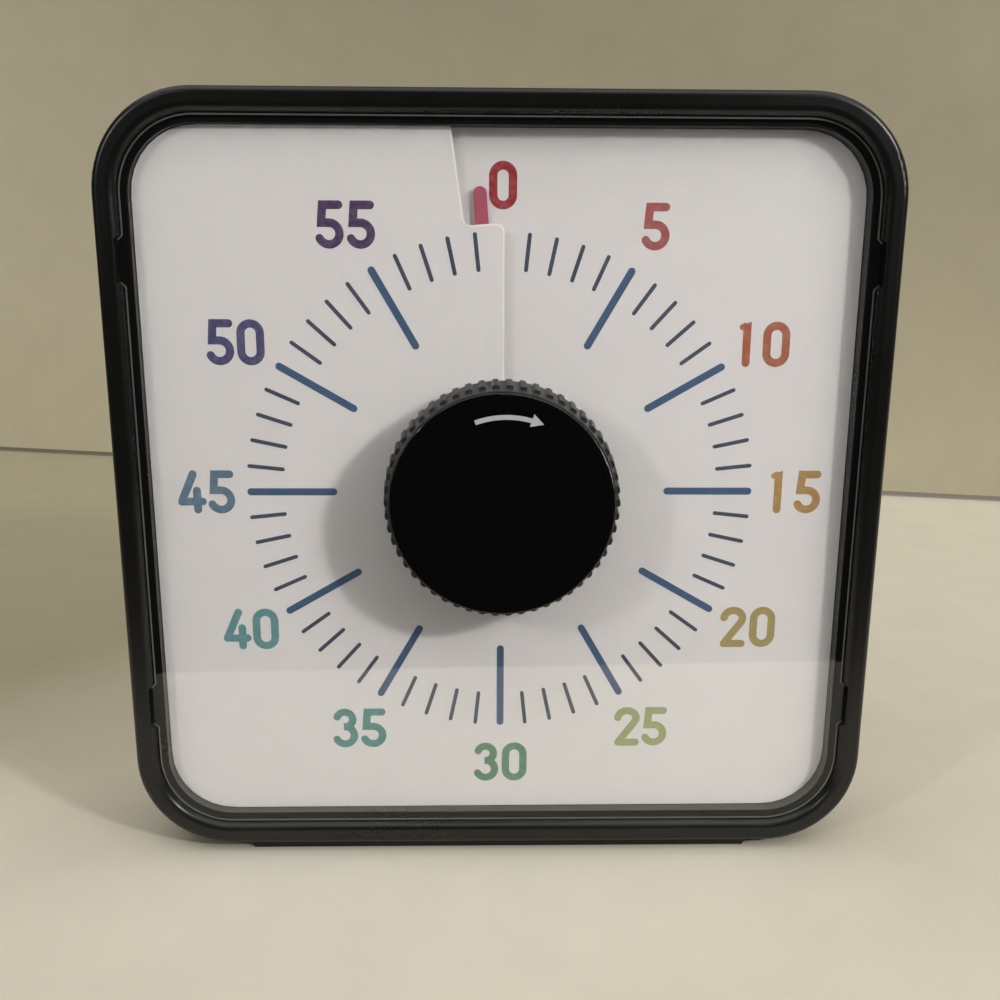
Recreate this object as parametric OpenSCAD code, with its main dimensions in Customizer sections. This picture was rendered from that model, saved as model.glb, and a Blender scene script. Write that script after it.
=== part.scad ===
// Visual countdown timer: a square wind-up timer with a spiral dial, a coloured time disc
// that threads through the slit of the dial, and a clockwork movement with a bell.
// Each sub-part is drawn in the face frame (X right, Y up, Z towards the viewer, with the
// dial's axis at x = y = 0 and the case's parting plane at z = 0), then stood up by placed().

/* [Case] */
// Width and height of the case at its parting line
case_size = 190.5; // [176:0.5:220]
// Outer corner radius at the parting line
corner_r = 25; // [23:0.5:30]
// Wall thickness of the case
wall = 2.2; // [1.8:0.1:3]
// How far each side draws in from the parting line to the front face
front_draft = 1.5; // [0.5:0.1:2.2]
// How far each side draws in from the parting line to the rear face
rear_draft = 0.8; // [0.4:0.1:1.4]
// Rounding of the front outer edge
front_edge_r = 1.6; // [0.8:0.1:2]
// Rounding of the rear outer edge
rear_edge_r = 2.6; // [2.4:0.1:3.4]
// Width of the frame from the widest line of the case to the edge of the lens
rim_inset = 6.9; // [6.6:0.1:9]
// Radius of the rounded step down to the lens
bevel_r = 2.2; // [1.4:0.1:2.4]
// Width of the ledge that carries the lens
ledge_w = 2.1; // [1.8:0.1:3]
// Thickness of the inner lip round the dial
lip_t = 1.3; // [1:0.1:1.5]

/* [Foot] */
// Width of the flat plinth that the case stands on
plinth_w = 130; // [80:1:140]
// How far the plinth stands below the case
plinth_h = 1; // [0.6:0.1:2]
// Slope of the plinth's ends, sideways
plinth_end = 2; // [1:0.5:6]
// Set-back of the plinth from the front face
plinth_setback = 2.5; // [1.8:0.1:5]

/* [Lens] */
// Thickness of the clear lens
lens_t = 1.2; // [1:0.1:2]
// Depth of the lens face below the front face of the frame
lens_recess = 2; // [1.6:0.1:3]
// Gap round the lens and its tabs
lens_gap = 0.2; // [0.1:0.05:0.4]
// Radius of the hole for the knob's shaft
lens_hole_r = 5; // [4:0.5:7]
// Length of each locating tab along the rim
tab_l = 10; // [8:0.5:14]
// How far each tab stands out from the rim
tab_w = 1.1; // [0.8:0.1:1.4]
// Distance of the tabs on the left and right rims from the middle
tab_at = 55.5; // [40:0.5:60]

/* [Dial and disc] */
// Pitch of the spiral dial, per turn
spiral_pitch = 2.4; // [2.2:0.1:3]
// Thickness of the dial
dial_t = 0.8; // [0.6:0.1:1]
// Thickness of the time disc
disc_t = 0.5; // [0.3:0.1:0.6]
// Radius of the time disc
disc_r = 64; // [50:0.5:64]
// Reach of the pointer from the axis
pointer_r = 73.2; // [68:0.2:76]
// Width of the pointer
pointer_w = 3.2; // [2.4:0.1:4]
// Angle of the pointer's middle before the zero mark
pointer_lag = 4.3; // [3:0.1:6]
// Clear space behind the time disc
disc_clear = 1.15; // [0.8:0.05:2]
// Clear space between the fully wound disc and the lens
lens_clear = 0.65; // [0.5:0.05:2]
// Radius of the dial's centre hole
dial_hole_r = 9.5; // [9:0.5:12]
// Radius of the step where the slit of the dial turns sideways
slit_step_r = 64.5; // [64.5:0.5:70]
// Angle of the slit's outer stretch before the zero mark
slit_back = 8; // [7:0.5:12]
// How far the start of the spiral tucks under its end
dial_tuck = 15; // [15:3:24]
// Rounding of the slit's corners
slit_round = 2; // [1:0.1:2.5]
// Gap between the dial and the lip round it
dial_gap = 0.15; // [0.1:0.05:0.4]
// Thickness of the rim that the dial stands on
dial_rim_t = 1.4; // [1:0.1:2]

/* [Knob] */
// Radius of the grip at its base, between the ribs
knob_base_r = 28.2; // [25:0.1:32]
// How far the grip draws in towards the cap
knob_taper = 1.3; // [0.5:0.1:2.5]
// Height of the whole knob
knob_h = 11.2; // [10:0.1:16]
// Gap between the knob and the lens
knob_gap = 1.5; // [0.8:0.1:3]
// Number of grip ribs
rib_count = 54; // [40:1:60]
// Width of a grip rib at its root
rib_w = 1.8; // [1.2:0.1:2]
// How far the ribs stand proud at the base of the grip
rib_h = 0.5; // [0.3:0.05:0.8]
// How far the backs of the ribs draw in towards the cap
rib_taper = 0.8; // [0.2:0.1:1.2]
// Plain band between the ribs' ends and the cap
rib_stop = 2.3; // [1:0.1:3.5]
// Thickness of the glossy cap
cap_t = 0.9; // [0.8:0.1:2]
// Rounding of the cap's edge
cap_edge_r = 0.4; // [0.2:0.1:0.6]
// Wall of the hollow knob
knob_wall = 2; // [1.6:0.1:2.6]

/* [Movement] */
// Thickness of the chassis plate
chassis_t = 1.6; // [1.2:0.1:2.4]
// Thickness of the movement's plates
plate_t = 1.2; // [1:0.1:1.6]
// Space between the movement's plates
frame_gap = 10.8; // [10.8:0.1:14]
// Radius of the movement's plates
plate_r = 33; // [33:0.5:34]
// Radius of the main arbor
arbor_r = 3; // [2.6:0.1:3.2]
// Distance of the flat on the main arbor from its axis
arbor_flat = 2.2; // [1.8:0.1:2.4]
// Radius of the small steel arbors
small_arbor_r = 0.7; // [0.6:0.05:0.75]
// Radius of the pivots at the ends of the small arbors
pivot_r = 0.45; // [0.35:0.05:0.5]
// Running clearance of shafts in their holes
run_gap = 0.05; // [0.02:0.01:0.08]
// Thickness of the train wheels
wheel_t = 0.8; // [0.6:0.1:0.9]
// Radius of the pillars between the plates
pillar_r = 2; // [1.8:0.1:2.5]
// Distance of the pillars from the main arbor
pillar_at = 29; // [28.5:0.5:30]

/* [Gear train] */
// Tooth module of the main wheel and second pinion
main_mod = 0.5; // [0.5:0.01:0.52]
// Teeth of the main wheel
main_teeth = 72; // [72:1:74]
// Teeth of the second pinion
second_pinion_teeth = 12; // [12:1:13]
// Tooth module of the second wheel and third pinion
second_mod = 0.45; // [0.44:0.01:0.46]
// Teeth of the second wheel
second_teeth = 60; // [58:1:61]
// Teeth of the third pinion
third_pinion_teeth = 10; // [10:1:11]
// Tooth module of the third wheel and escape pinion
third_mod = 0.4; // [0.39:0.01:0.41]
// Teeth of the third wheel
third_teeth = 60; // [58:1:61]
// Teeth of the escape pinion
escape_pinion_teeth = 8; // [8:1:9]
// Play along the pitch circle, as a share of the module
backlash = 0.16; // [0.1:0.01:0.24]
// Teeth of the escape wheel
escape_teeth = 15; // [13:1:18]
// Radius of the escape wheel
escape_r = 6; // [5.5:0.1:6.2]

/* [Spring and bell] */
// Outer radius of the mainspring coil
spring_r = 14.6; // [12:0.2:15]
// Thickness of the mainspring strip
spring_t = 0.5; // [0.3:0.05:0.6]
// Width of the mainspring strip
spring_w = 4.4; // [3:0.1:4.6]
// Turns of the mainspring
spring_turns = 6; // [4:1:8]
// Radius of the bell's rim
bell_r = 24; // [20:0.5:24.5]
// Height of the bell
bell_h = 9; // [7:0.5:10]
// Thickness of the bell's wall
bell_t = 1; // [0.8:0.1:1.4]
// Gap between the resting hammer and the bell
strike_gap = 0.8; // [0.4:0.1:1.5]

/* [Rear side] */
// Free space behind the movement
rear_clear = 4.7; // [4.2:0.1:8]
// Radius of each magnet
magnet_r = 9; // [6:0.5:10]
// Thickness of each magnet
magnet_t = 2.8; // [2:0.1:3.2]
// Distance of the magnets from the middle, sideways and up
magnet_at = 61; // [59:0.5:64]
// Width of the fold-out stand
stand_w = 65; // [50:1:68]
// Length of the fold-out stand from its hinge
stand_l = 48; // [36:1:50]
// Thickness of the fold-out stand
stand_t = 2.6; // [2:0.1:2.8]
// Radius of the stand's hinge barrel
hinge_r = 3; // [2.8:0.1:3.4]
// Radius of the hinge pin
hinge_pin_r = 1.5; // [1.2:0.1:1.6]
// Gap round the stand in its recess
stand_gap = 0.5; // [0.3:0.1:0.8]
// Number of sound slots
slot_count = 7; // [3:2:9]
// Width of a sound slot
slot_w = 2.2; // [1.2:0.1:3]
// Length of the longest sound slot
slot_l = 38; // [24:1:42]
// Distance between sound slots
slot_step = 5; // [4:0.1:5.5]
// Radius of the case screws
screw_r = 1.5; // [1.3:0.1:1.7]
// Radius of the case screws' heads
screw_head_r = 2.6; // [2.4:0.1:2.8]

/* [Hidden] */

$fn = 96;

// Case outline
case_half = case_size / 2;
core = case_half - corner_r;            // corner centres, from the middle
rim_half = case_half - rim_inset;       // edge of the lens opening
lip_half = rim_half - ledge_w;          // edge of the window over the dial
dial_half = lip_half - dial_gap;
joint_gap = 0.15;                       // round pieces that drop into each other
grid = 3;                               // degrees between the edges of the spiral bands
corner_grid = 1.5;                      // the same in the rounded corners of the dial

// Stack from the chassis forwards
chassis_z = 0.2;                                            // front face of the chassis
dial_low = chassis_z + disc_clear + disc_t / 2 + spiral_pitch / 2;
lens_z = dial_low + 1.5 * spiral_pitch + disc_t / 2 + lens_clear;
bezel_z = lens_z + lens_t + lens_recess;                    // front face of the case
knob_z = lens_z + lens_t + knob_gap;                        // base of the knob
knob_top = knob_z + knob_h;
cap_z = knob_top - cap_t;
ledge_t = 1.5;
lap_h = 1.6;                            // lip of the rear cover inside the front frame
lap_t = 1.2;

// Stack from the chassis backwards
plate_z = chassis_z - chassis_t;                            // front of the front plate
inner_z = plate_z - plate_t;                                // between the plates, front
outer_z = inner_z - frame_gap;                              // between the plates, rear
rear_plate_z = outer_z - plate_t;
cover_depth = wall + rear_clear - rear_plate_z;
floor_z = wall - cover_depth;                               // inside of the rear face
end_shake = 0.15;                                           // axial play of the arbors

// Levels of the movement
second_level = inner_z - 0.5 - wheel_t;
main_t = 1;
main_level = second_level - 0.6 - main_t;
clutch_t = 0.6;
collar_t = 0.5;
collar_r = arbor_r + 0.9;
spring_level = main_level - clutch_t - collar_t - 0.2 - spring_w;
third_level = main_level - 2.1 - wheel_t;
cam_t = 1;
cam_level = outer_z + 0.8;
escape_t = 0.6;
escape_level = cam_level + cam_t + 0.2;
cam_r = 8;

// Gear centres, each placed from the one before
wheel_add = [0.75, 0.62, 0.48];         // wheel addenda, as shares of the module
pinion_add = 1;
root_clear = 0.25;
second_dir = 215;
third_dir = 291.7;
escape_dir = 11.7;
pallet_dir = 3.3;
second_at = polar(main_mod * (main_teeth + second_pinion_teeth) / 2, second_dir);
third_at = second_at + polar(second_mod * (second_teeth + third_pinion_teeth) / 2, third_dir);
escape_at = third_at + polar(third_mod * (third_teeth + escape_pinion_teeth) / 2, escape_dir);
pallet_reach = escape_r + 3.5;
pallet_at = escape_at + polar(pallet_reach, pallet_dir);
pillar_dirs = [155, 30, 325];
spring_post_dir = 100;

// Hammer and bell
finger_dir = 75;
finger_r = 0.8;
finger_w = 1.3;
finger_l = 20;
finger_at = polar(cam_r + 0.4 + finger_r, finger_dir);
hammer_at = finger_at + polar(finger_l, finger_dir - 90);
hammer_pin_r = 1;
hammer_t = 1;
head_r = 2.5;
bell_at = [-16, 59];
strike_dir = -15;
head_at = bell_at + polar(bell_r + strike_gap + head_r, strike_dir);
bell_z = outer_z + 7.4;                 // rim of the bell
bell_post_r = 2.5;

// Fasteners
screw_gap = 0.2;
screw_reach = 5;                        // of a case screw ahead of the chassis
screw_web = 4;                          // under the head of a case screw
lip_out = lip_half + lip_t;
boss_at = core + (lip_out + case_half - wall - 2 * core) / 2 * cos(45);
boss_r = (case_half - wall - lip_out) / 2 + 0.1;
column_r = screw_head_r + 1.4;
stud_r = 1.2;
chassis_half = case_half - wall - 1.7;
rear_flat = case_half - rear_draft - rear_edge_r - 0.5;     // flat part of the rear face

// Stand and hinge
stand_lift = 0.3;                       // of the opened stand above the table
hinge_y = -case_half - plinth_h + stand_lift + hinge_r;
flush = 0.2;                            // of the stand and magnets behind the rear face
hinge_z = flush + hinge_r - cover_depth;
recess_z = stand_t + flush + 0.5 - cover_depth;
recess_t = 1.8;
trough_z = hinge_z + hinge_r + 0.4;
trough_y = hinge_y + hinge_r + 1;
recess_top = hinge_y + stand_l + stand_gap;
recess_half = stand_w / 2 + stand_gap;
ear_t = 3;
scallop_r = 9;

over = 0.5;                             // by which cutters pass a face

function polar(r, a) = [r * cos(a), r * sin(a)];

// Point at a clockwise angle from the top of the dial
function clock(r, a) = [r * sin(a), r * cos(a)];

function arc(at, r, from, to, steps) =
    [for (i = [0:steps]) at + polar(r, from + (to - from) * i / steps)];

// Distance from the middle to the edge of a rounded square, along a direction
function square_reach(half, a) =
    let (c = max(abs(cos(a)), abs(sin(a))), s = min(abs(cos(a)), abs(sin(a))))
    let (k = core, r = half - core, b = (c + s) * k)
    half * s / c <= k ? half / c : b + sqrt(b * b - 2 * k * k + r * r);

// Angles at which a spiral band has its edges, with closer ones round the dial's corners
function stations(from, to, fine) =
    [for (i = [0:ceil((to - from) / fine)])
        let (a = min(to, from + i * fine), off_corner = abs((a + 360) % 90 - 45))
        if (a == to || i * fine % grid == 0 || off_corner < 45 - atan(core / dial_half) + fine)
            a];

// Height of the dial's middle surface at an angle along the spiral
function dial_height(a) = dial_low + spiral_pitch * a / 360;
function disc_height(a) = dial_height(a) - spiral_pitch / 2;

// Involute of a base circle: polar angle in degrees at a radius
function involute(base, r) = let (a = acos(min(1, base / r))) tan(a) * 180 / PI - a;

// Outline of a spur gear with involute flanks and radial roots
function gear_points(teeth, mod, add, ded, flank_steps = 3) =
    let (pitch_r = mod * teeth / 2, base = pitch_r * cos(20))
    let (tip = pitch_r + add * mod, root = pitch_r - ded * mod, low = max(base, root))
    let (half = 90 / teeth - backlash * mod * 45 / (PI * pitch_r) + involute(base, pitch_r))
    let (radii = [root, for (i = [0:flank_steps]) low + (tip - low) * i / flank_steps])
    [for (i = [0:teeth - 1]) each concat(
        [for (r = radii) polar(r, 360 * i / teeth - half + involute(base, max(r, base)))],
        [for (j = [len(radii) - 1:-1:0])
            polar(radii[j], 360 * i / teeth + half - involute(base, max(radii[j], base)))])];

// ---- Helpers ---------------------------------------------------------------------------

// Stands a piece drawn in the face frame up on the table
module placed() {
    translate([0, (knob_top - cover_depth) / 2, case_half + plinth_h])
        rotate([90, 0, 0]) children();
}

module disc_at(at, z, r, h) {
    translate([at.x, at.y, z]) cylinder(r = r, h = h);
}

// Rounded square, concentric with the outline of the case
module square_plate(half, z, h) {
    translate([0, 0, z]) linear_extrude(h) {
        square([2 * half, 2 * core], center = true);
        square([2 * core, 2 * half], center = true);
        for (x = [-core, core], y = [-core, core]) translate([x, y]) circle(r = half - core);
    }
}

// Carries a flat shape, drawn at [distance from the middle, height], round the outline of
// the case
module swept() {
    for (i = [0:3]) rotate(90 * i) translate([core, core, 0]) {
        rotate_extrude(angle = 90) translate([-core, 0]) children();
        rotate([90, 0, 0]) linear_extrude(2 * core) translate([-core, 0]) children();
    }
}

// What is cut away outside a circle, between two directions from its centre
module round_off(centre, r, from, to) {
    difference() {
        polygon([centre, centre + polar(2 * r, from), centre + polar(3 * r, (from + to) / 2),
                 centre + polar(2 * r, to)]);
        translate(centre) circle(r = r);
    }
}

// Band that follows a spiral, with its edges and faces given as functions of the angle
module spiral_band(from, to, inner, outer, low, high, fine = grid) {
    angles = stations(from, to, fine);
    steps = len(angles) - 1;
    function ring(a) = [
        [each clock(inner(a), a), low(a)], [each clock(outer(a), a), low(a)],
        [each clock(outer(a), a), high(a)], [each clock(inner(a), a), high(a)]];
    points = [for (a = angles) each ring(a)];
    sides = [for (i = [0:steps - 1], k = [0:3])
        let (a = 4 * i + k, b = 4 * i + (k + 1) % 4)
        each [[a, a + 4, b], [b, a + 4, b + 4]]];
    last = 4 * steps;
    ends = [[0, 1, 2, 3], [last + 3, last + 2, last + 1, last]];
    polyhedron(points, concat(sides, ends), convexity = 6);
}

// The four places of the lens tabs on the left and right rims, each with its tab pointing
// outwards along +Y
module tab_places() {
    for (a = [-90, 90], s = [-1, 1]) rotate(a) translate([s * tab_at, rim_half]) children();
}

module tab_outline(grow) {
    l = tab_l / 2 + grow;
    polygon([[-l - tab_w, -2], [-l - tab_w, 0], [-l, tab_w + grow], [l, tab_w + grow],
             [l + tab_w, 0], [l + tab_w, -2]]);
}

module corner_places() {
    for (x = [-boss_at, boss_at], y = [-boss_at, boss_at]) translate([x, y, 0]) children();
}

module pillar_places() {
    for (a = pillar_dirs) translate(polar(pillar_at, a)) children();
}

module magnet_places() {
    for (x = [-magnet_at, magnet_at], y = [-magnet_at, magnet_at])
        translate([x, y, 0]) children();
}

// Round bar with one flat, for the end of the main arbor and the holes that it drives
module flatted(r, flat, z, h) {
    intersection() {
        translate([0, 0, z]) cylinder(r = r, h = h);
        translate([-2 * r, -2 * r, z]) cube([4 * r, 2 * r + flat, h]);
    }
}

// Thin toothed wheel with a hub and spokes
module spoked_wheel(points, rim, hub, spokes, spoke_w, z, h) {
    translate([0, 0, z]) linear_extrude(h) difference() {
        polygon(points);
        difference() {
            circle(r = rim);
            circle(r = hub);
            for (i = [0:spokes - 1]) rotate(360 * i / spokes)
                translate([0, -spoke_w / 2]) square([rim + 1, spoke_w]);
        }
    }
}

module small_arbor(at) {
    z = outer_z + end_shake;
    disc_at(at, z, small_arbor_r, frame_gap - 2 * end_shake);
    disc_at(at, z - end_shake - plate_t, pivot_r, frame_gap + 2 * plate_t);
}

module plinth(from, to) {
    low = -case_half - plinth_h;
    high = -case_half + max(front_draft, rear_draft) + 0.4;
    half = plinth_w / 2;
    translate([0, 0, from]) linear_extrude(to - from)
        polygon([[-half, low], [half, low], [half + plinth_end, high],
                 [-half - plinth_end, high]]);
}

// ---- Case ------------------------------------------------------------------------------

// Section of the frame: a drafted side, a face rounded at both edges, the lens ledge with
// the lip under it, and the hollow behind
module front_profile() {
    face_half = case_half - front_draft;
    tilt = atan(front_draft / bezel_z);
    edge_z = bezel_z - front_edge_r;
    edge = [case_half - edge_z * tan(tilt) - front_edge_r / cos(tilt), edge_z];
    difference() {
        polygon([[case_half, 0], [face_half, bezel_z], [rim_half, bezel_z],
                 [rim_half, lens_z], [lip_half, lens_z], [lip_half, chassis_z],
                 [lip_out, chassis_z], [lip_out, lens_z - ledge_t],
                 [rim_half + tab_w + 1.1, lens_z - ledge_t],
                 [face_half - wall, bezel_z - wall - front_edge_r / 2],
                 [case_half - wall, 0]]);
        round_off(edge, front_edge_r, tilt, 90);
        round_off([rim_half + bevel_r, bezel_z - bevel_r], bevel_r, 90, 180);
    }
}

module front_bezel() {
    color([0.08, 0.08, 0.08]) placed() difference() {
        union() {
            swept() front_profile();
            corner_places() disc_at([0, 0], chassis_z, boss_r, lens_z - chassis_z - over);
            plinth(0, bezel_z - plinth_setback);
        }
        corner_places() disc_at([0, 0], chassis_z - over, screw_r, screw_reach + 2 * over);
        translate([0, 0, lens_z]) linear_extrude(bezel_z) tab_places() tab_outline(0);
    }
}

module lens() {
    color([0.85, 0.9, 0.92, 0.3]) placed() difference() {
        union() {
            square_plate(rim_half - lens_gap, lens_z, lens_t);
            translate([0, 0, lens_z]) linear_extrude(lens_t) tab_places()
                tab_outline(-lens_gap);
        }
        disc_at([0, 0], lens_z - over, lens_hole_r, lens_t + 2 * over);
    }
}

// Spiral dial: one turn and a little more of a helicoid, standing on a rim. Both bands have
// their edges on the same grid of angles.
module dial_plate() {
    end = 360 + grid;
    rim_from = -grid * ceil(slit_back / grid);
    rim_to = 360 + rim_from - grid;
    function edge(a) = square_reach(dial_half, a);
    color([0.93, 0.91, 0.9]) placed() difference() {
        union() {
            spiral_band(-dial_tuck, end, function(a) dial_hole_r, function(a) edge(a),
                function(a) dial_height(a) - dial_t / 2,
                function(a) dial_height(a) + dial_t / 2, corner_grid);
            spiral_band(rim_from, rim_to, function(a) edge(a) - dial_rim_t,
                function(a) edge(a), function(a) chassis_z, function(a) dial_height(a),
                corner_grid);
        }
        slit_cutter(end);
    }
}

// Removes the top layer beyond the slit: a radial edge, a step and a second radial edge
module slit_cutter(end) {
    reach = 2 * case_half;
    layer_gap = (dial_height(360 - slit_back) + dial_height(end - 360)) / 2;
    translate([0, 0, layer_gap]) linear_extrude(spiral_pitch * 2)
        offset(r = slit_round) offset(r = -2 * slit_round) offset(r = slit_round)
        difference() {
            polygon([[0.5, 0], [0.5, slit_step_r], clock(slit_step_r, 0),
                     each [for (i = [0:8]) clock(slit_step_r, -slit_back * i / 8)],
                     clock(reach, -slit_back), [reach / 4, reach], [reach / 4, 0]]);
        }
}

// Flat carrier plate for the dial and the movement
module chassis_plate() {
    color([0.75, 0.75, 0.73]) placed() difference() {
        square_plate(chassis_half, plate_z, chassis_t);
        disc_at([0, 0], plate_z - over, arbor_r + 2, chassis_t + 2 * over);
        disc_at(bell_at, plate_z - over, stud_r, chassis_t + 2 * over);
        corner_places()
            disc_at([0, 0], plate_z - over, screw_r + screw_gap, chassis_t + 2 * over);
        pillar_places() {
            disc_at([0, 0], plate_z - over, stud_r, chassis_t + 2 * over);
            translate([0, 0, chassis_z - 1.1]) cylinder(r1 = stud_r, r2 = stud_r + 1.2,
                h = 1.2);
        }
    }
}

// Section of the rear shell: a drafted wall and the start of the rear face
module rear_profile() {
    back_half = case_half - rear_draft;
    tilt = atan(rear_draft / cover_depth);
    edge_z = cover_depth - rear_edge_r;
    edge = [case_half - edge_z * tan(tilt) - rear_edge_r / cos(tilt), -edge_z];
    difference() {
        polygon([[case_half, 0], [case_half - wall, 0], [back_half - wall, floor_z],
                 [rear_flat, floor_z], [rear_flat, -cover_depth], [back_half, -cover_depth]]);
        round_off(edge, rear_edge_r, -90, -tilt);
    }
}

module rear_cover() {
    lap_out = case_half - wall - joint_gap;
    lap_in = lap_out - lap_t;
    lap_draw = lap_h * front_draft / (bezel_z - wall - front_edge_r / 2);
    lap = [[lap_out + wall / 4, -2 * lap_t], [lap_out, 0.001], [lap_out - lap_draw, lap_h],
           [lap_in, lap_h], [lap_in, -2 * lap_t]];
    color([0.08, 0.08, 0.08]) placed() difference() {
        union() {
            swept() rear_profile();
            swept() polygon(lap);
            square_plate(rear_flat, -cover_depth, wall);
            corner_places()
                disc_at([0, 0], -cover_depth + wall / 2, column_r,
                    cover_depth - wall / 2 + plate_z);
            magnet_places()
                disc_at([0, 0], -cover_depth + wall / 2, magnet_r + 1.6,
                    magnet_t + flush + 1.2 - wall / 2);
            stand_recess_walls();
            plinth(rear_edge_r - cover_depth, 0);
        }
        corner_places() {
            disc_at([0, 0], -cover_depth, screw_r + screw_gap, 2 * cover_depth);
            disc_at([0, 0], -cover_depth - over, screw_head_r + screw_gap,
                cover_depth + over + plate_z - screw_web);
            disc_at([0, 0], plate_z, boss_r + joint_gap, lap_h + over - plate_z);
        }
        magnet_places()
            disc_at([0, 0], -cover_depth - over, magnet_r + run_gap, magnet_t + flush + over);
        stand_recess();
        sound_slots();
    }
}

// Shell round the stand's recess, with the deeper trough of its hinge
module stand_recess_walls() {
    side = recess_half + ear_t;
    low = -case_half + rear_draft;
    translate([-side, low, -cover_depth])
        cube([2 * side, recess_top + recess_t - low, recess_z + recess_t + cover_depth]);
    translate([-side, low, -cover_depth])
        cube([2 * side, trough_y + recess_t - low, trough_z + recess_t + cover_depth]);
    disc_at([0, recess_top], -cover_depth, scallop_r + recess_t,
        recess_z + recess_t + cover_depth);
}

module stand_recess() {
    low = -case_half - plinth_h - over;
    translate([-recess_half, low, -cover_depth - over])
        cube([2 * recess_half, recess_top - low, recess_z + cover_depth + over]);
    translate([-recess_half, low, -cover_depth - over])
        cube([2 * recess_half, trough_y - low, trough_z + cover_depth + over]);
    disc_at([0, recess_top], -cover_depth - over, scallop_r,
        recess_z + cover_depth + over);
    translate([-recess_half - ear_t, hinge_y, hinge_z]) rotate([0, 90, 0])
        cylinder(r = hinge_pin_r + run_gap / 2, h = 2 * (recess_half + ear_t));
}

module sound_slots() {
    for (i = [0:slot_count - 1]) {
        y = (i - (slot_count - 1) / 2) * slot_step;
        l = slot_l * sqrt(1 - pow(2 * y / (slot_count * slot_step + slot_l / 2), 2)) - slot_w;
        translate([bell_at.x, bell_at.y + y, -cover_depth - over]) {
            translate([-l / 2, -slot_w / 2, 0]) cube([l, slot_w, wall + 2 * over]);
            for (x = [-l / 2, l / 2])
                translate([x, 0, 0]) cylinder(r = slot_w / 2, h = wall + 2 * over);
        }
    }
}

module case_screws() {
    seat = plate_z - screw_web;
    head_h = 2;
    color([0.6, 0.6, 0.62]) placed() corner_places() difference() {
        union() {
            disc_at([0, 0], seat, screw_r - 0.02, screw_reach + chassis_z - seat);
            disc_at([0, 0], seat - head_h, screw_head_r, head_h);
        }
        for (a = [0, 90]) rotate(a)
            translate([-1.6, -0.35, seat - head_h - over]) cube([3.2, 0.7, 1 + over]);
    }
}

module magnets() {
    color([0.7, 0.7, 0.72]) placed() magnet_places()
        disc_at([0, 0], flush - cover_depth, magnet_r, magnet_t);
}

// ---- Stand -----------------------------------------------------------------------------

// Foot that lies flush in the rear recess and swings out flat on the table
module stand_foot() {
    half = stand_w / 2;
    top = hinge_y + stand_l;
    round_r = 5;
    back = flush - cover_depth;
    front = back + stand_t;
    color([0.1, 0.1, 0.1]) placed() difference() {
        union() {
            translate([0, 0, back]) linear_extrude(stand_t) {
                translate([-half, hinge_y]) square([stand_w, stand_l - round_r]);
                translate([round_r - half, hinge_y])
                    square([stand_w - 2 * round_r, stand_l]);
                for (s = [-1, 1])
                    translate([s * (half - round_r), top - round_r]) circle(r = round_r);
            }
            translate([-half, hinge_y, hinge_z]) rotate([0, 90, 0])
                cylinder(r = hinge_r, h = stand_w);
        }
        translate([-half - over, hinge_y, hinge_z]) rotate([0, 90, 0])
            cylinder(r = hinge_pin_r + run_gap, h = stand_w + 2 * over);
        for (i = [-1:1]) translate([i * stand_w * 0.3 - stand_w * 0.12,
                                    hinge_y + hinge_r + 3, front - 1])
            cube([stand_w * 0.24, stand_l - hinge_r - 13, 1 + over]);
        disc_at([0, top + scallop_r * 0.55], back - over, scallop_r, stand_t + 2 * over);
    }
}

module stand_pin() {
    color([0.75, 0.75, 0.77]) placed()
        translate([-recess_half - ear_t, hinge_y, hinge_z]) rotate([0, 90, 0])
            cylinder(r = hinge_pin_r, h = 2 * (recess_half + ear_t));
}

// ---- Knob and time disc ----------------------------------------------------------------

knob_roof = 2.1;
rib_sink = 1;                           // of a rib's root in the wall of the grip
hub_r = 5.2;
hub_web = 1.2;
arbor_top = cap_z - knob_roof - 0.8;
ring_r = 24;                            // middle of the cap's locating ring
ring_w = 1.5;
ring_h = 1.1;

// Grip: a drafted hollow cone with ribs that draw in less than it does, and so end in flat
// faces below a plain band
module knob_body() {
    top_r = knob_base_r - knob_taper;
    tilt = atan(rib_taper / (cap_z - knob_z));
    rib_l = cap_z - knob_z - rib_stop;
    half_rib = [[-rib_sink, 0.5], [rib_h - 0.35, 0.47], [rib_h - 0.1, 0.38], [rib_h, 0.22]];
    shell = [[knob_base_r, knob_z], [top_r, cap_z], [0, cap_z], [0, cap_z - knob_roof],
             [top_r - knob_wall, cap_z - knob_roof], [knob_base_r - knob_wall, knob_z]];
    color([0.3, 0.3, 0.3]) placed() difference() {
        union() {
            rotate_extrude() polygon(shell);
            disc_at([0, 0], knob_z + 0.6, hub_r, cap_z - knob_z - 0.6 - over);
            for (i = [0:rib_count - 1]) rotate(360 * i / rib_count)
                translate([knob_base_r, 0, knob_z]) rotate([0, -tilt, 0])
                    linear_extrude(rib_l) polygon([
                        for (p = half_rib) [p.x, p.y * rib_w],
                        for (i = [3:-1:0]) [half_rib[i].x, -half_rib[i].y * rib_w]]);
        }
        flatted(arbor_r + run_gap / 2, arbor_flat + run_gap / 2, knob_z - 2,
            arbor_top - knob_z + 2 + 0.05);
        disc_at([0, 0], knob_z, screw_r + screw_gap, knob_h);
        disc_at([0, 0], arbor_top + hub_web, screw_head_r + screw_gap, knob_h);
        translate([0, 0, cap_z - ring_h - 0.1]) difference() {
            cylinder(r = ring_r + ring_w / 2 + joint_gap, h = ring_h + over);
            translate([0, 0, -over]) cylinder(r = ring_r - ring_w / 2 - joint_gap,
                h = ring_h + 3 * over);
        }
    }
}

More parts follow.
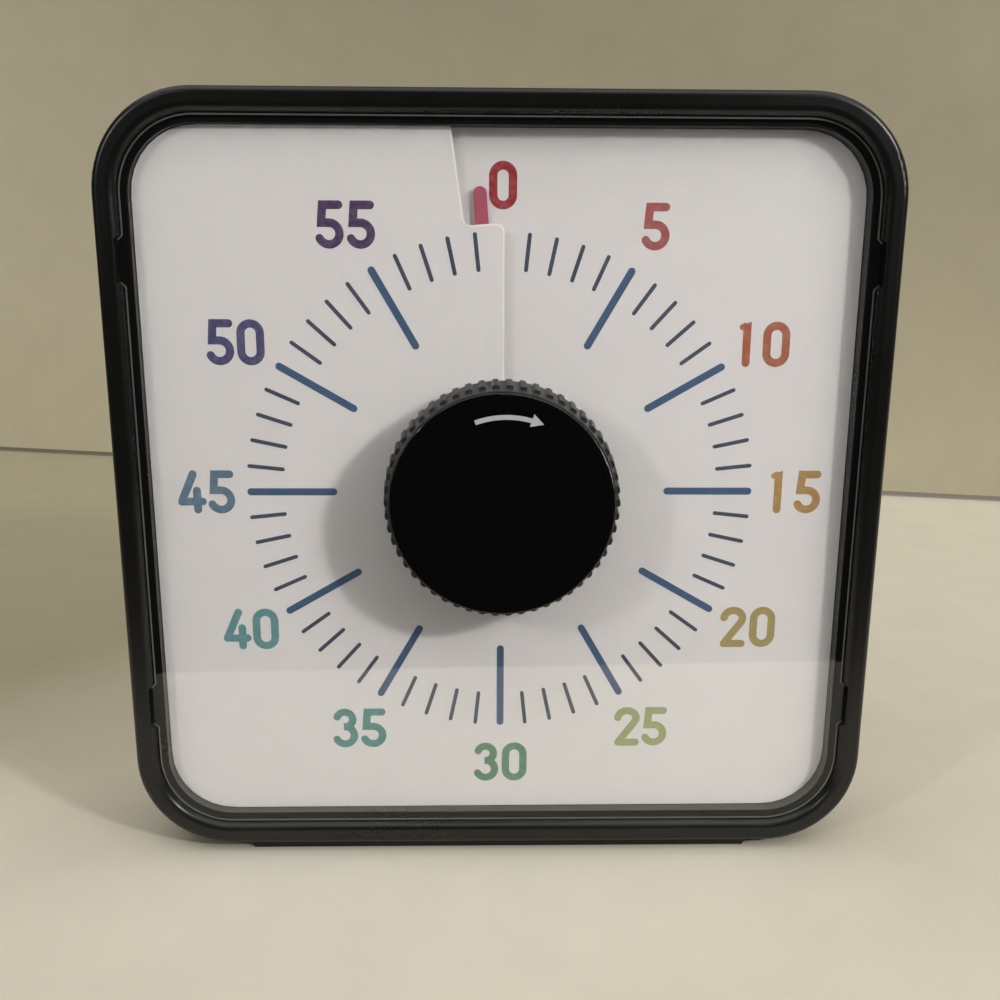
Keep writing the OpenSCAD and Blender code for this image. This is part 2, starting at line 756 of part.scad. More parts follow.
module knob_cap() {
    r = knob_base_r - knob_taper - 0.3;
    color([0.02, 0.02, 0.02]) placed() {
        rotate_extrude($fn = 180) difference() {
            translate([0, cap_z]) square([r, cap_t]);
            round_off([r - cap_edge_r, knob_top - cap_edge_r], cap_edge_r, 0, 90);
        }
        translate([0, 0, cap_z - ring_h]) difference() {
            cylinder(r = ring_r + ring_w / 2, h = ring_h + over);
            translate([0, 0, -over])
                cylinder(r = ring_r - ring_w / 2, h = ring_h + 3 * over);
        }
    }
}

module knob_screw() {
    seat = arbor_top + hub_web;
    head_h = cap_z - seat - 0.2;
    color([0.6, 0.6, 0.62]) placed() difference() {
        union() {
            disc_at([0, 0], seat - 7, screw_r - 0.02, 7);
            disc_at([0, 0], seat, screw_head_r, head_h);
        }
        for (a = [0, 90]) rotate(a)
            translate([-1.6, -0.35, seat + head_h - 0.7]) cube([3.2, 0.7, 1]);
    }
}

// Main arbor: rear pivot, round body with a collar, and a flatted front end
module main_arbor() {
    body_top = chassis_z;
    collar_z = main_level - clutch_t - collar_t;
    color([0.7, 0.7, 0.72]) placed() difference() {
        union() {
            disc_at([0, 0], rear_plate_z - 0.8, arbor_r / 2, plate_t + 0.8 + end_shake);
            disc_at([0, 0], outer_z + end_shake, arbor_r, body_top - outer_z - end_shake);
            disc_at([0, 0], collar_z, collar_r, collar_t);
            flatted(arbor_r, arbor_flat, body_top - over, arbor_top - body_top + over);
        }
        difference() {
            disc_at([0, 0], plate_z + 0.15, arbor_r + 1, 0.6);
            disc_at([0, 0], plate_z + 0.15 - over, arbor_r - 0.4, 0.6 + 2 * over);
        }
        disc_at([0, 0], arbor_top - 7, screw_r, 7 + over);
    }
}

module arbor_clip() {
    color([0.35, 0.35, 0.36]) placed() difference() {
        disc_at([0, 0], plate_z + 0.2, arbor_r + 1.4, 0.5);
        disc_at([0, 0], plate_z, arbor_r - 0.4, 1);
        translate([0, -arbor_r / 2, plate_z]) cube([2 * arbor_r, arbor_r, 1]);
    }
}

disc_hub_r = 8;
disc_lead = pointer_lag - atan(pointer_w / 2 / disc_r);    // leading edge of the disc

// Coloured disc: one turn of the same helicoid as the dial, with a pointer at its edge
module time_disc() {
    from = -disc_lead + 0.4;
    to = 360 - disc_lead;
    height = disc_height(360 - pointer_lag);
    finger = pointer_r - pointer_w / 2;
    color([0.8, 0.25, 0.35]) placed() {
        spiral_band(from, to, function(a) disc_hub_r - 0.4, function(a) disc_r,
            function(a) disc_height(a) - disc_t / 2, function(a) disc_height(a) + disc_t / 2);
        rotate(pointer_lag) translate([0, 0, height - disc_t / 2]) linear_extrude(disc_t) {
            translate([-pointer_w / 2, disc_r - 3]) square([pointer_w, finger - disc_r + 3]);
            translate([0, finger]) circle(r = pointer_w / 2, $fn = 32);
        }
    }
}

// Hub that carries the disc and slides on the flatted arbor as the disc climbs
module disc_hub() {
    low = disc_height(0) - disc_t / 2 - 0.4;
    high = disc_height(360) + disc_t / 2 + 0.15;
    color([0.9, 0.9, 0.88]) placed() difference() {
        disc_at([0, 0], low, disc_hub_r, high - low);
        flatted(arbor_r + run_gap, arbor_flat + run_gap, low - over, high - low + 2 * over);
    }
}

// ---- Movement --------------------------------------------------------------------------

module movement_plate(z, centre_r) {
    color([0.8, 0.7, 0.4]) placed() difference() {
        disc_at([0, 0], z, plate_r, plate_t);
        disc_at([0, 0], z - over, centre_r, plate_t + 2 * over);
        for (at = [second_at, third_at, escape_at, pallet_at])
            disc_at(at, z - over, pivot_r + run_gap, plate_t + 2 * over);
        disc_at(hammer_at, z - over, hammer_pin_r, plate_t + 2 * over);
        pillar_places() disc_at([0, 0], z - over, stud_r, plate_t + 2 * over);
        for (a = [62, 122, 185, 347])
            disc_at(polar(plate_r * 0.62, a), z - over, 3.4, plate_t + 2 * over);
    }
}

module front_movement_plate() {
    movement_plate(plate_z - plate_t, arbor_r + run_gap);
}

module rear_movement_plate() {
    movement_plate(rear_plate_z, arbor_r / 2 + run_gap);
}

module pillars() {
    color([0.75, 0.65, 0.35]) placed() pillar_places() difference() {
        union() {
            disc_at([0, 0], outer_z, pillar_r, frame_gap);
            disc_at([0, 0], outer_z - plate_t - 2.2, stud_r - 0.02, plate_t + 2.2 + over);
        }
        disc_at([0, 0], inner_z - 4, stud_r - 0.2, 4 + over);
    }
}

module pillar_nuts() {
    color([0.7, 0.7, 0.72]) placed() pillar_places() difference() {
        disc_at_hex([0, 0], rear_plate_z - 1.8, 2.6, 1.8);
        disc_at([0, 0], rear_plate_z - 3, stud_r, 4);
    }
}

module disc_at_hex(at, z, r, h) {
    translate([at.x, at.y, z]) cylinder(r = r, h = h, $fn = 6);
}

// Countersunk screws that hold the movement to the chassis
module chassis_screws() {
    top = chassis_z - 0.05;
    color([0.6, 0.6, 0.62]) placed() pillar_places() difference() {
        union() {
            disc_at([0, 0], inner_z - 3.5, stud_r - 0.22, top - inner_z + 3.5);
            translate([0, 0, top - 0.95]) cylinder(r1 = stud_r - 0.1, r2 = stud_r + 0.95,
                h = 0.95);
        }
        translate([-1.4, -0.25, top - 0.5]) cube([2.8, 0.5, 1]);
    }
}

module spring_post() {
    at = polar(spring_r + 1.6, spring_post_dir);
    color([0.7, 0.7, 0.72]) placed()
        disc_at(at, outer_z, 1.1, spring_level + spring_w + 0.3 - outer_z);
}

// Flat spiral strip, drawn as one outline out along its outer side and back inside
module mainspring() {
    inner_r = collar_r + 0.5;
    turns = spring_turns;
    total = 360 * turns;
    steps = 30 * turns;
    start = spring_post_dir + 180;
    function radius(i) = inner_r + (spring_r - inner_r) * i / steps;
    function turn(i) = start - 180 + total * (i / steps - 1);
    strip = concat(
        [for (i = [0:steps]) polar(radius(i) + spring_t, turn(i))],
        [for (i = [steps:-1:0]) polar(radius(i), turn(i))]);
    color([0.45, 0.48, 0.55]) placed()
        translate([0, 0, spring_level]) linear_extrude(spring_w) polygon(strip);
}

module main_wheel() {
    points = gear_points(main_teeth, main_mod, wheel_add[0],
        pinion_add + root_clear);
    pitch_r = main_mod * main_teeth / 2;
    color([0.85, 0.7, 0.35]) placed() difference() {
        rotate(second_dir) spoked_wheel(points, pitch_r - 2.4, 8, 4, 3, main_level, main_t);
        disc_at([0, 0], main_level - over, arbor_r, main_t + 2 * over);
    }
}

// Three-armed spring washer that presses the main wheel against its seat
module clutch_spring() {
    z = main_level - clutch_t;
    arm_w = 2.6;
    reach = 7.5;
    color([0.5, 0.5, 0.52]) placed() difference() {
        union() {
            disc_at([0, 0], z, arbor_r + 1.6, clutch_t);
            for (i = [0:2]) rotate(120 * i) {
                translate([0, -arm_w / 2, z]) cube([reach, arm_w, clutch_t]);
                disc_at([reach, 0], z, arm_w / 2, clutch_t);
            }
        }
        disc_at([0, 0], z - over, arbor_r, clutch_t + 2 * over);
    }
}

// Strike cam: a plain round with one notch that lets the hammer fall at zero
module strike_cam() {
    color([0.85, 0.7, 0.35]) placed() difference() {
        disc_at([0, 0], cam_level, cam_r, cam_t);
        disc_at([0, 0], cam_level - over, arbor_r, cam_t + 2 * over);
        rotate(finger_dir - 8) translate([cam_r - 1.8, -2.4, cam_level - over])
            cube([4, 2.4, cam_t + 2 * over]);
    }
}

module train_wheel(at, wheel_dir, pinion_dir, teeth, mod, add, level,
                   pinion, pinion_mod, pinion_level, pinion_h, mate_add) {
    low = min(level, pinion_level);
    high = max(level + wheel_t, pinion_level + pinion_h);
    pitch_r = mod * teeth / 2;
    pinion_r = pinion_mod * pinion / 2;
    sleeve_r = max(pinion_r - (mate_add + root_clear) * pinion_mod, small_arbor_r + 0.35);
    translate(at) difference() {
        union() {
            rotate(wheel_dir) spoked_wheel(
                gear_points(teeth, mod, add, pinion_add + root_clear),
                pitch_r - 2.2, pinion_r + 1.6, 5, 1.6, level, wheel_t);
            rotate(pinion_dir + 180 + 180 / pinion) translate([0, 0, pinion_level])
                linear_extrude(pinion_h) polygon(
                    gear_points(pinion, pinion_mod, pinion_add, mate_add + root_clear));
            disc_at([0, 0], low, sleeve_r, high - low);
        }
        disc_at([0, 0], low - over, small_arbor_r, high - low + 2 * over);
    }
}

module second_wheel() {
    color([0.93, 0.93, 0.9]) placed()
        train_wheel(second_at, third_dir, second_dir, second_teeth, second_mod,
            wheel_add[1], second_level, second_pinion_teeth, main_mod,
            main_level - 0.3, second_level - main_level + 0.3 + 0.1, wheel_add[0]);
}

module second_arbor() {
    color([0.7, 0.7, 0.72]) placed() small_arbor(second_at);
}

module third_wheel() {
    color([0.93, 0.93, 0.9]) placed()
        train_wheel(third_at, escape_dir, third_dir, third_teeth, third_mod,
            wheel_add[2], third_level, third_pinion_teeth, second_mod,
            second_level - 0.3, wheel_t + 0.5, wheel_add[1]);
}

module third_arbor() {
    color([0.7, 0.7, 0.72]) placed() small_arbor(third_at);
}

// Escape wheel with pointed teeth, moulded with its pinion
module escape_wheel() {
    tooth = 360 / escape_teeth;
    points = [for (i = [0:escape_teeth - 1]) each [
        polar(escape_r * 0.78, tooth * i - tooth * 0.16),
        polar(escape_r, tooth * i), polar(escape_r * 0.98, tooth * i + tooth * 0.12),
        polar(escape_r * 0.78, tooth * i + tooth * 0.5)]];
    pinion_low = third_level - 0.4;
    pinion_h = wheel_t + 0.8;
    pinion_r = third_mod * escape_pinion_teeth / 2;
    color([0.93, 0.93, 0.9]) placed() translate(escape_at) difference() {
        union() {
            spoked_wheel(points, escape_r * 0.66, 1.9, 4, 0.9, escape_level, escape_t);
            rotate(escape_dir + 180 + 180 / escape_pinion_teeth)
                translate([0, 0, pinion_low]) linear_extrude(pinion_h)
                    polygon(gear_points(escape_pinion_teeth, third_mod, pinion_add,
                        wheel_add[2] + root_clear));
            disc_at([0, 0], escape_level, pinion_r - 0.4, pinion_low - escape_level + 0.2);
        }
        disc_at([0, 0], escape_level - over, small_arbor_r,
            pinion_low + pinion_h - escape_level + 2 * over);
    }
}

module escape_arbor() {
    color([0.7, 0.7, 0.72]) placed() small_arbor(escape_at);
}

// Pallet lever: two arms with upright pins that straddle the escape wheel, and a weighted bar
module pallet_lever() {
    pin_r = 0.3;
    pin_gap = 0.55;
    span = 50;
    pin_z = escape_level - 0.2;
    arm_z = escape_level + escape_t + 0.4;
    arm_t = 0.7;
    bar_l = 8.5;
    pins = [for (s = [-1, 1]) polar(escape_r + pin_r + pin_gap, pallet_dir + s * span)];
    hub = polar(pallet_reach, pallet_dir);
    color([0.7, 0.7, 0.72]) placed() translate(escape_at) difference() {
        union() {
            disc_at(hub, arm_z, small_arbor_r + 1.1, arm_t + 1.4);
            for (p = pins) {
                arm = p - hub;
                translate([hub.x, hub.y, arm_z]) rotate(atan2(arm.y, arm.x))
                    translate([0, -0.6, 0]) cube([norm(arm), 1.2, arm_t]);
                disc_at(p, arm_z, 0.75, arm_t);
                disc_at(p, pin_z, pin_r, arm_z - pin_z + 0.2);
            }
            translate([hub.x, hub.y, arm_z + arm_t]) rotate(pallet_dir + 90)
                translate([-bar_l, -0.7, 0]) cube([2 * bar_l, 1.4, arm_t]);
            for (s = [-1, 1])
                disc_at(hub + polar(s * bar_l, pallet_dir + 90), arm_z + arm_t, 1.8, 1.4);
        }
        disc_at(hub, arm_z - over, small_arbor_r, arm_t + 1.4 + 2 * over);
    }
}

module pallet_arbor() {
    color([0.7, 0.7, 0.72]) placed() small_arbor(pallet_at);
}

// ---- Bell and hammer -------------------------------------------------------------------

// Lever on a long tube, with a finger at the strike cam and an arm up to the bell
module hammer_lever() {
    tube_r = hammer_pin_r + 0.9;
    arm = head_at - hammer_at;
    finger = finger_at - hammer_at;
    tube_z = outer_z + 0.2;
    color([0.75, 0.75, 0.77]) placed() translate(hammer_at) difference() {
        union() {
            disc_at([0, 0], tube_z, tube_r, frame_gap - 0.4);
            translate([0, 0, cam_level]) rotate(atan2(arm.y, arm.x))
                translate([0, -1, 0]) cube([norm(arm) - head_r * 0.6, 2, hammer_t]);
            translate([0, 0, cam_level]) rotate(atan2(finger.y, finger.x))
                translate([0, -finger_w / 2, 0]) cube([norm(finger), finger_w, hammer_t]);
            disc_at(finger, cam_level, finger_r, hammer_t);
            disc_at([0, 0], cam_level, tube_r + 0.8, hammer_t);
        }
        disc_at([0, 0], tube_z - over, hammer_pin_r + run_gap, frame_gap + 2 * over);
    }
}

module hammer_head() {
    z = cam_level - 1.2;
    arm_dir = atan2(head_at.y - hammer_at.y, head_at.x - hammer_at.x);
    color([0.8, 0.7, 0.4]) placed() difference() {
        disc_at(head_at, z, head_r, 4.2);
        translate([head_at.x, head_at.y, cam_level]) rotate(arm_dir)
            translate([-2 * head_r, -1, 0]) cube([2.4 * head_r - head_r, 2, hammer_t]);
    }
}

module hammer_pin() {
    color([0.7, 0.7, 0.72]) placed()
        disc_at(hammer_at, rear_plate_z, hammer_pin_r - 0.01, frame_gap + 2 * plate_t);
}

// Bell: a spun dome, open towards the chassis
module bell() {
    crown = bell_z - bell_h;
    round_r = bell_h - 1;
    flat = bell_r - round_r;
    profile = concat([[stud_r, crown]],
        arc([flat, crown + round_r], round_r, -90, 0, 10), [[bell_r, bell_z],
        [bell_r - bell_t, bell_z]],
        arc([flat, crown + round_r], round_r - bell_t, 0, -90, 10),
        [[stud_r, crown + bell_t]]);
    color([0.82, 0.82, 0.84]) placed() translate([bell_at.x, bell_at.y, 0])
        rotate_extrude() polygon(profile);
}

module bell_post() {
    crown = bell_z - bell_h + bell_t;
    color([0.75, 0.65, 0.35]) placed() difference() {
        union() {
            disc_at(bell_at, crown, bell_post_r, plate_z - crown);
            disc_at(bell_at, plate_z - over, stud_r - 0.02, chassis_t + over - 0.1);
        }
        disc_at(bell_at, crown - over, stud_r, 5 + over);
    }
}

module bell_screw() {
    crown = bell_z - bell_h;
    color([0.6, 0.6, 0.62]) placed() difference() {
        union() {
            disc_at(bell_at, crown, stud_r - 0.02, bell_t + 4.5);
            disc_at(bell_at, crown - 1.4, 2.6, 1.4);
        }
        translate([bell_at.x - 3, bell_at.y - 0.35, crown - 2]) cube([6, 0.7, 1.2]);
    }
}

front_bezel();
lens();
dial_plate();
chassis_plate();
rear_cover();
case_screws();
magnets();
stand_foot();
stand_pin();
knob_body();
knob_cap();
knob_screw();
main_arbor();
arbor_clip();
time_disc();
disc_hub();
front_movement_plate();
rear_movement_plate();
pillars();
pillar_nuts();
chassis_screws();
spring_post();
mainspring();
main_wheel();
clutch_spring();
strike_cam();
second_wheel();
second_arbor();
third_wheel();
third_arbor();
escape_wheel();
escape_arbor();
pallet_lever();
pallet_arbor();
hammer_lever();
hammer_head();
hammer_pin();
bell();
bell_post();
bell_screw();
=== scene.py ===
"""Finishes, printed dial and studio for a wind-up visual countdown timer.

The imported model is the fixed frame. Every operator dresses some of its pieces or adds new
ones that ride on its bodies. Lengths inside the script are in millimetres on the face of the
timer: x to the right, y up from the dial's axis, and z towards the viewer from the frame's
middle plane. stand_up() turns them into the frame's metres.
"""

import math

import bpy
import numpy as np
from bpy.props import FloatProperty, FloatVectorProperty, PointerProperty
from bpy.types import NodeSocket, Operator, Panel, PropertyGroup
from mathutils import Matrix, Vector


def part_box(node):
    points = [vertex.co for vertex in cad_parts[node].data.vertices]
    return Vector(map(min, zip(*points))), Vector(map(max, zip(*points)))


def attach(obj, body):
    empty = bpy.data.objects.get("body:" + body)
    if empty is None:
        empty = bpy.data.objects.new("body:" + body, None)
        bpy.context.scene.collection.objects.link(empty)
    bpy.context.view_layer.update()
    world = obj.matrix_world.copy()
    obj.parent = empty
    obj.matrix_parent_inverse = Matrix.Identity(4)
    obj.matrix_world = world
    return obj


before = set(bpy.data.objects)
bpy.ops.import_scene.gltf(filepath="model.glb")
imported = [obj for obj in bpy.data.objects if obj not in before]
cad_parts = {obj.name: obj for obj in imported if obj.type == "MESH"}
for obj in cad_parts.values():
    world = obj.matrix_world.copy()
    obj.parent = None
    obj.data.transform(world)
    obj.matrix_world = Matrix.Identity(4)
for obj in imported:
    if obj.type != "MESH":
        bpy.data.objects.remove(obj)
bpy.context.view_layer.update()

bl_info = {
    "name": "Visual Countdown Timer",
    "version": (1, 0, 0),
    "blender": (4, 5, 0),
    "location": "3D View > Sidebar > Timer",
    "description": "Finishes, printed dial and studio for a wind-up visual countdown timer",
    "category": "Object",
}

MM = 0.001


def front_of(node):
    """How far a CAD node reaches towards the viewer, in millimetres."""
    return -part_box(node)[0].y / MM


AXIS_HEIGHT = (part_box("knob_cap")[0].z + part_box("knob_cap")[1].z) / 2 / MM
LENS_FRONT = front_of("lens")
DIAL_FRONT = front_of("dial_plate")
CAP_FRONT = front_of("knob_cap")
LENS_HALF = (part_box("lens")[1].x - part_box("lens")[0].x) / 2 / MM
MINUTES = 60
MINUTES_PER_NUMERAL = 5
DEGREES_PER_MINUTE = 360 / MINUTES


def srgb(red, green, blue):
    """A colour written as three 0 to 255 values, as the linear values that Blender keeps:
    the inverse of the usual display curve, straight near black and a power above."""
    c = np.array([red, green, blue]) / 255
    return tuple(np.where(c <= 0.04045, c / 12.92, ((c + 0.055) / 1.055) ** 2.4).tolist())


# ---- Settings ----


def setting(kind, value_from, says="", **fixed):
    """Makes a function for settings of one kind, whose descriptions may start alike: it takes
    a label, a description and what the default is worked out from."""
    return lambda label, description, *default: kind(
        name=label, description=says + description, default=value_from(*default), **fixed
    )


# Lengths are given in millimetres, angles in degrees, colours as 0 to 255 values and powers
# in watts. A share is from 0 to 1.
length = setting(
    FloatProperty, lambda mm: mm * MM, min=0, precision=5, unit="LENGTH", subtype="DISTANCE"
)
angle = setting(FloatProperty, math.radians, unit="ROTATION", subtype="ANGLE")
colour = setting(
    FloatVectorProperty, srgb, "Colour of ", min=0, max=1, size=3, subtype="COLOR"
)
power = setting(FloatProperty, float, "Power of ", min=0, unit="POWER")
share = setting(FloatProperty, float, min=0, max=1, subtype="FACTOR")


class TimerCase(PropertyGroup):
    """Sizes and colours of the case, the lens and what is fixed to the back"""

    plastic: colour("Case plastic", "the moulded frame, cover and stand", 14, 14, 13)
    worn: colour("Rubbed plastic", "the case's edges where they are rubbed", 46, 46, 44)
    gloss: share("Case roughness", "Mean roughness of the case plastic", 0.3)
    grain: length("Grain size", "Size of the grain on the moulded plastic", 0.35)
    # The pale line round the lens is a painted highlight, standing in for the lens's cut edge
    # catching the light.
    edge_width: length("Lens edge width", "Width of the pale edge round the lens", 0.35)
    edge_colour: colour("Lens edge", "the sawn edge round the lens", 128, 128, 124)
    lens_tint: colour("Lens tint", "the clear lens", 252, 254, 253)
    magnet: colour("Magnet plating", "the plated magnets", 196, 197, 200)


class TimerDial(PropertyGroup):
    """Sizes and colours of the dial, its print and the time disc"""

    sheet: colour("Dial sheet", "the dial's face", 214, 205, 203)
    # The core colour also paints the pale strip along the slit, which is a painted highlight.
    core: colour("Dial core", "the dial where it is cut", 236, 228, 220)
    disc: colour("Time disc", "the time disc and its pointer", 161, 74, 91)
    pitch: length("Spiral pitch", "Rise of the dial in one turn", 2.4)
    spiral_end: angle("Spiral end", "Angle at which the dial's spiral ends", 363)
    # The pale strip along the slit is a painted highlight of the cut edge catching the light.
    cut_width: length("Cut edge width", "Width of the pale edge along the dial's slit", 0.42)
    ink: length("Ink thickness", "Height of the print above the dial", 0.03)
    tick_reach: length("Tick reach", "Radius at the outer ends of the ticks", 62.9)
    long_root: length("Long tick root", "Radius at the inner end of a long tick", 40.7)
    short_root: length("Short tick root", "Radius at the inner end of a short tick", 53.7)
    long_width: length("Long tick width", "Width of a long tick", 1.8)
    short_width: length("Short tick width", "Width of a short tick", 0.97)
    long_ink: colour("Long ticks", "the long ticks' ink", 56, 80, 111)
    short_ink: colour("Short ticks", "the short ticks' ink", 55, 64, 80)
    numeral_at: length("Numeral radius", "Distance of the numerals from the axis", 73.7)
    numeral_height: length("Numeral height", "Height of the numerals", 10.95)
    numeral_stroke: length("Numeral stroke", "Width of a numeral's line", 1.97)


# The colour of each numeral's ink, by its minute
INKS = {
    0: (142, 14, 24), 5: (151, 70, 67), 10: (155, 80, 51), 15: (162, 122, 65),
    20: (153, 134, 81), 25: (144, 151, 98), 30: (76, 121, 91), 35: (70, 124, 117),
    40: (86, 131, 133), 45: (85, 107, 125), 50: (62, 57, 97), 55: (62, 35, 78),
}


class TimerNumerals(PropertyGroup):
    """Inks of the twelve numerals"""

    __annotations__ = {
        f"numeral_{minute:02d}": colour(f"Numeral {minute}", f"the numeral {minute}", *ink)
        for minute, ink in INKS.items()
    }


class TimerKnob(PropertyGroup):
    """Sizes and colours of the knob"""

    grip: colour("Grip", "the ribbed grip", 46, 46, 44)
    cap: colour("Cap", "the glossy cap", 2, 2, 2)
    arrow: colour("Arrow", "the arrow on the cap", 214, 217, 225)
    arrow_at: length("Arrow radius", "Radius of the arrow's line", 20.98)
    arrow_width: length("Arrow line", "Width of the arrow's line", 1.12)
    arrow_head: length("Arrow head", "Width of the arrow's head", 3.14)
    arrow_from: angle("Arrow start", "Clockwise angle of the arrow's tail", -18.1)
    arrow_neck: angle("Arrow neck", "Clockwise angle where the head starts", 18.25)
    arrow_tip: angle("Arrow tip", "Clockwise angle of the arrow's tip", 25.9)


class TimerMovement(PropertyGroup):
    """Colours of the clockwork"""

    chassis: colour("Chassis", "the moulded chassis", 192, 192, 188)
    acetal: colour("Acetal", "the moulded wheels", 232, 232, 226)
    brass: colour("Brass", "the plates and pillars", 214, 180, 104)
    steel: colour("Steel", "arbors, screws and levers", 178, 180, 184)
    spring: colour("Spring steel", "the blued mainspring", 72, 84, 112)
    bell: colour("Bell", "the nickel-plated bell", 206, 206, 210)


class TimerStudio(PropertyGroup):
    """Floor, backdrop, lamps and camera"""

    floor: colour("Floor", "the floor", 233, 225, 206)
    # The floor's second colour is a painted shadow: the timer's shadow on the floor behind it, on
    # the left.
    floor_far: colour("Floor behind", "the floor behind, on the left", 185, 177, 149)
    wall: colour("Backdrop", "the backdrop", 212, 203, 176)
    # The backdrop's second colour is painted shade: the backdrop darker higher up and on the right,
    # where less lamp light reaches.
    wall_far: colour("Backdrop above", "the backdrop higher up, on the right", 172, 164, 139)
    table_rim: length("Mirrored floor", "How far in front of the axis the floor is mirrored", 133.3)
    rim_turn: angle("Mirrored rim's turn", "Turn of the mirrored floor's front edge", -2.27)
    wall_at: length("Backdrop distance", "Distance of the backdrop behind the timer", 484)
    wall_turn: angle("Backdrop turn", "Turn of the backdrop about the vertical", -14)
    lamp_left: power("Left lamp", "the left lamp", 1.6)
    lamp_right: power("Right lamp", "the right lamp", 5.5)
    lamp_high: power("High lamp", "the high right lamp", 0.9)
    lamp_ceiling: power("Ceiling", "the light from the ceiling", 57)
    lamp_top: power("Top lamp", "the overhead lamp", 0.36)
    lamp_back_left: power("Left rear lamp", "the left rear lamp", 2.15)
    lamp_back_right: power("Right rear lamp", "the right rear lamp", 2.55)
    room: share("Room light", "Strength of the room's own light", 0.05)
    camera_at: FloatVectorProperty(
        name="Camera place", description="Place of the camera in the frame", precision=5,
        default=(-0.00533, -0.25396, 0.15109), unit="LENGTH", subtype="TRANSLATION",
    )
    camera_yaw: angle("Camera yaw", "Turn of the camera to the right", 1.161)
    camera_pitch: angle("Camera pitch", "Tilt of the camera, upwards", -12.9)
    camera_roll: angle("Camera roll", "Roll of the camera, to the left", 0.292)
    camera_lens: FloatProperty(
        name="Focal length", description="Focal length on a 36 mm sensor", default=36.79,
        min=1, unit="CAMERA",
    )


# ---- Shapes ----


def stand_up(x, y, z):
    """Face coordinates in millimetres as points of the frame in metres: x stays, z points
    towards the viewer along -Y, and y points up from the dial's axis along Z."""
    return np.stack([x, -z, y + AXIS_HEIGHT], -1) * MM


def clock(radius, degrees):
    """The point at a radius and a clockwise angle from the top: radius times sine, cosine."""
    a = np.radians(degrees)
    return np.stack([radius * np.sin(a), radius * np.cos(a)], -1)


def ellipse(x, y, across, up, start, end, steps=20):
    """Points along an ellipse: its centre plus its half axes times cosine and sine."""
    a = np.radians(np.linspace(start, end, steps))
    return np.stack([x + across * np.cos(a), y + up * np.sin(a)], -1)


def flat_surface(level):
    """A surface at one height over the whole face."""
    return lambda xy: np.full(xy.shape[:-1], level)


def dial_surface(dial, turns_from=0.0):
    """Height of the dial's face: its highest point less the pitch times the share of a turn
    that is left to the end of the spiral. Angles start at turns_from, so that print near
    the slit stays on one layer."""
    end = math.degrees(dial.spiral_end)
    pitch = dial.pitch / MM

    def height(xy):
        turned = np.degrees(np.arctan2(xy[..., 0], xy[..., 1]))
        turned = (turned - turns_from) % 360 + turns_from
        return DIAL_FRONT - pitch * (end - turned) / 360

    return height


# Degrees round a line's free end at which it has points, up to just short of the tip
ROUND_END = [18, 36, 54, 72, 86]
# Steps of a path that are shorter than this have no direction
SHORTEST_STEP = 1e-9


def line_edges(path, half, round_start=True, round_end=True, closed=False):
    """The two edges of a line. A corner is mitred: the centre plus or minus half the width
    times the sum of the two unit normals over one plus their dot product. A free end runs
    on as a half circle, where the half width is the cosine of the angle and the way past
    the end its sine. A step without length takes the normal of the one before it. Returns
    points by [along, side, axis]."""
    path = np.asarray(path, float)
    half = np.broadcast_to(np.asarray(half, float), len(path)).copy()
    turn = np.radians(ROUND_END)
    if not closed:
        first, last = path[0] - path[1], path[-1] - path[-2]
        if round_start:
            way = first / np.linalg.norm(first) * half[0]
            path = np.concatenate([path[0] + np.outer(np.sin(turn[::-1]), way), path])
            half = np.concatenate([half[0] * np.cos(turn[::-1]), half])
        if round_end:
            way = last / np.linalg.norm(last) * half[-1]
            path = np.concatenate([path, path[-1] + np.outer(np.sin(turn), way)])
            half = np.concatenate([half, half[-1] * np.cos(turn)])
        steps = np.diff(path, axis=0)
    else:
        steps = np.roll(path, -1, axis=0) - path
    size = np.linalg.norm(steps, axis=1, keepdims=True)
    good = size[:, 0] > SHORTEST_STEP
    normal = np.stack([-steps[:, 1], steps[:, 0]], -1) / np.maximum(size, SHORTEST_STEP)
    normal = normal[np.maximum.accumulate(np.where(good, np.arange(len(good)), 0))]
    if closed:
        before, after = np.roll(normal, 1, axis=0), normal
    else:
        before = np.concatenate([normal[:1], normal])
        after = np.concatenate([normal, normal[-1:]])
    dot = (before * after).sum(1, keepdims=True)
    side = (before + after) / (1 + dot) * half[:, None]
    return np.stack([path + side, path - side], 1)


def ring_faces(rings, points, closed):
    """Quads between rings that each have the same number of points, round every ring."""
    i = np.arange(rings if closed else rings - 1)[:, None]
    j = np.arange(points)[None, :]
    after, beside = (i + 1) % rings, (j + 1) % points
    quads = [i * points + j, i * points + beside, after * points + beside, after * points + j]
    return np.stack(quads, -1).reshape(-1, 4)


def solid(rings, closed=False):
    """A closed body from rings by [ring, point, axis]: quads between them and, unless they
    run round, a flat face over each end. The faces are turned outwards where the sum of
    their corners' triple products, six times the volume, comes out negative."""
    rings = np.asarray(rings, float)
    n, m = rings.shape[:2]
    verts = rings.reshape(-1, 3)
    quads = ring_faces(n, m, closed)
    faces = quads.tolist()
    tris = [quads[:, [0, 1, 2]], quads[:, [0, 2, 3]]]
    if not closed:
        faces += [list(range(m))[::-1], list(range((n - 1) * m, n * m))]
        fan = np.stack([np.zeros(m - 2, int), np.arange(1, m - 1), np.arange(2, m)], -1)
        tris += [fan[:, ::-1], fan + (n - 1) * m]
    a, b, c = (verts - verts.mean(0))[np.concatenate(tris)].transpose(1, 0, 2)
    if (a * np.cross(b, c)).sum() < 0:
        faces = [f[::-1] for f in faces]
    return verts, faces


def slab(edges, surface, above, below, closed=False):
    """A thin body that follows a surface: its section at each place along a line is the
    two edges raised above the surface and the same two sunk below it."""
    xy = edges[:, [0, 1, 1, 0]]
    z = surface(xy) + np.array([above, above, -below, -below])
    return solid(stand_up(xy[..., 0], xy[..., 1], z), closed)


def new_object(name, data):
    """An object in the scene that shows a mesh, a lamp or a camera."""
    made = bpy.data.objects.new(name, data)
    bpy.context.scene.collection.objects.link(made)
    return made


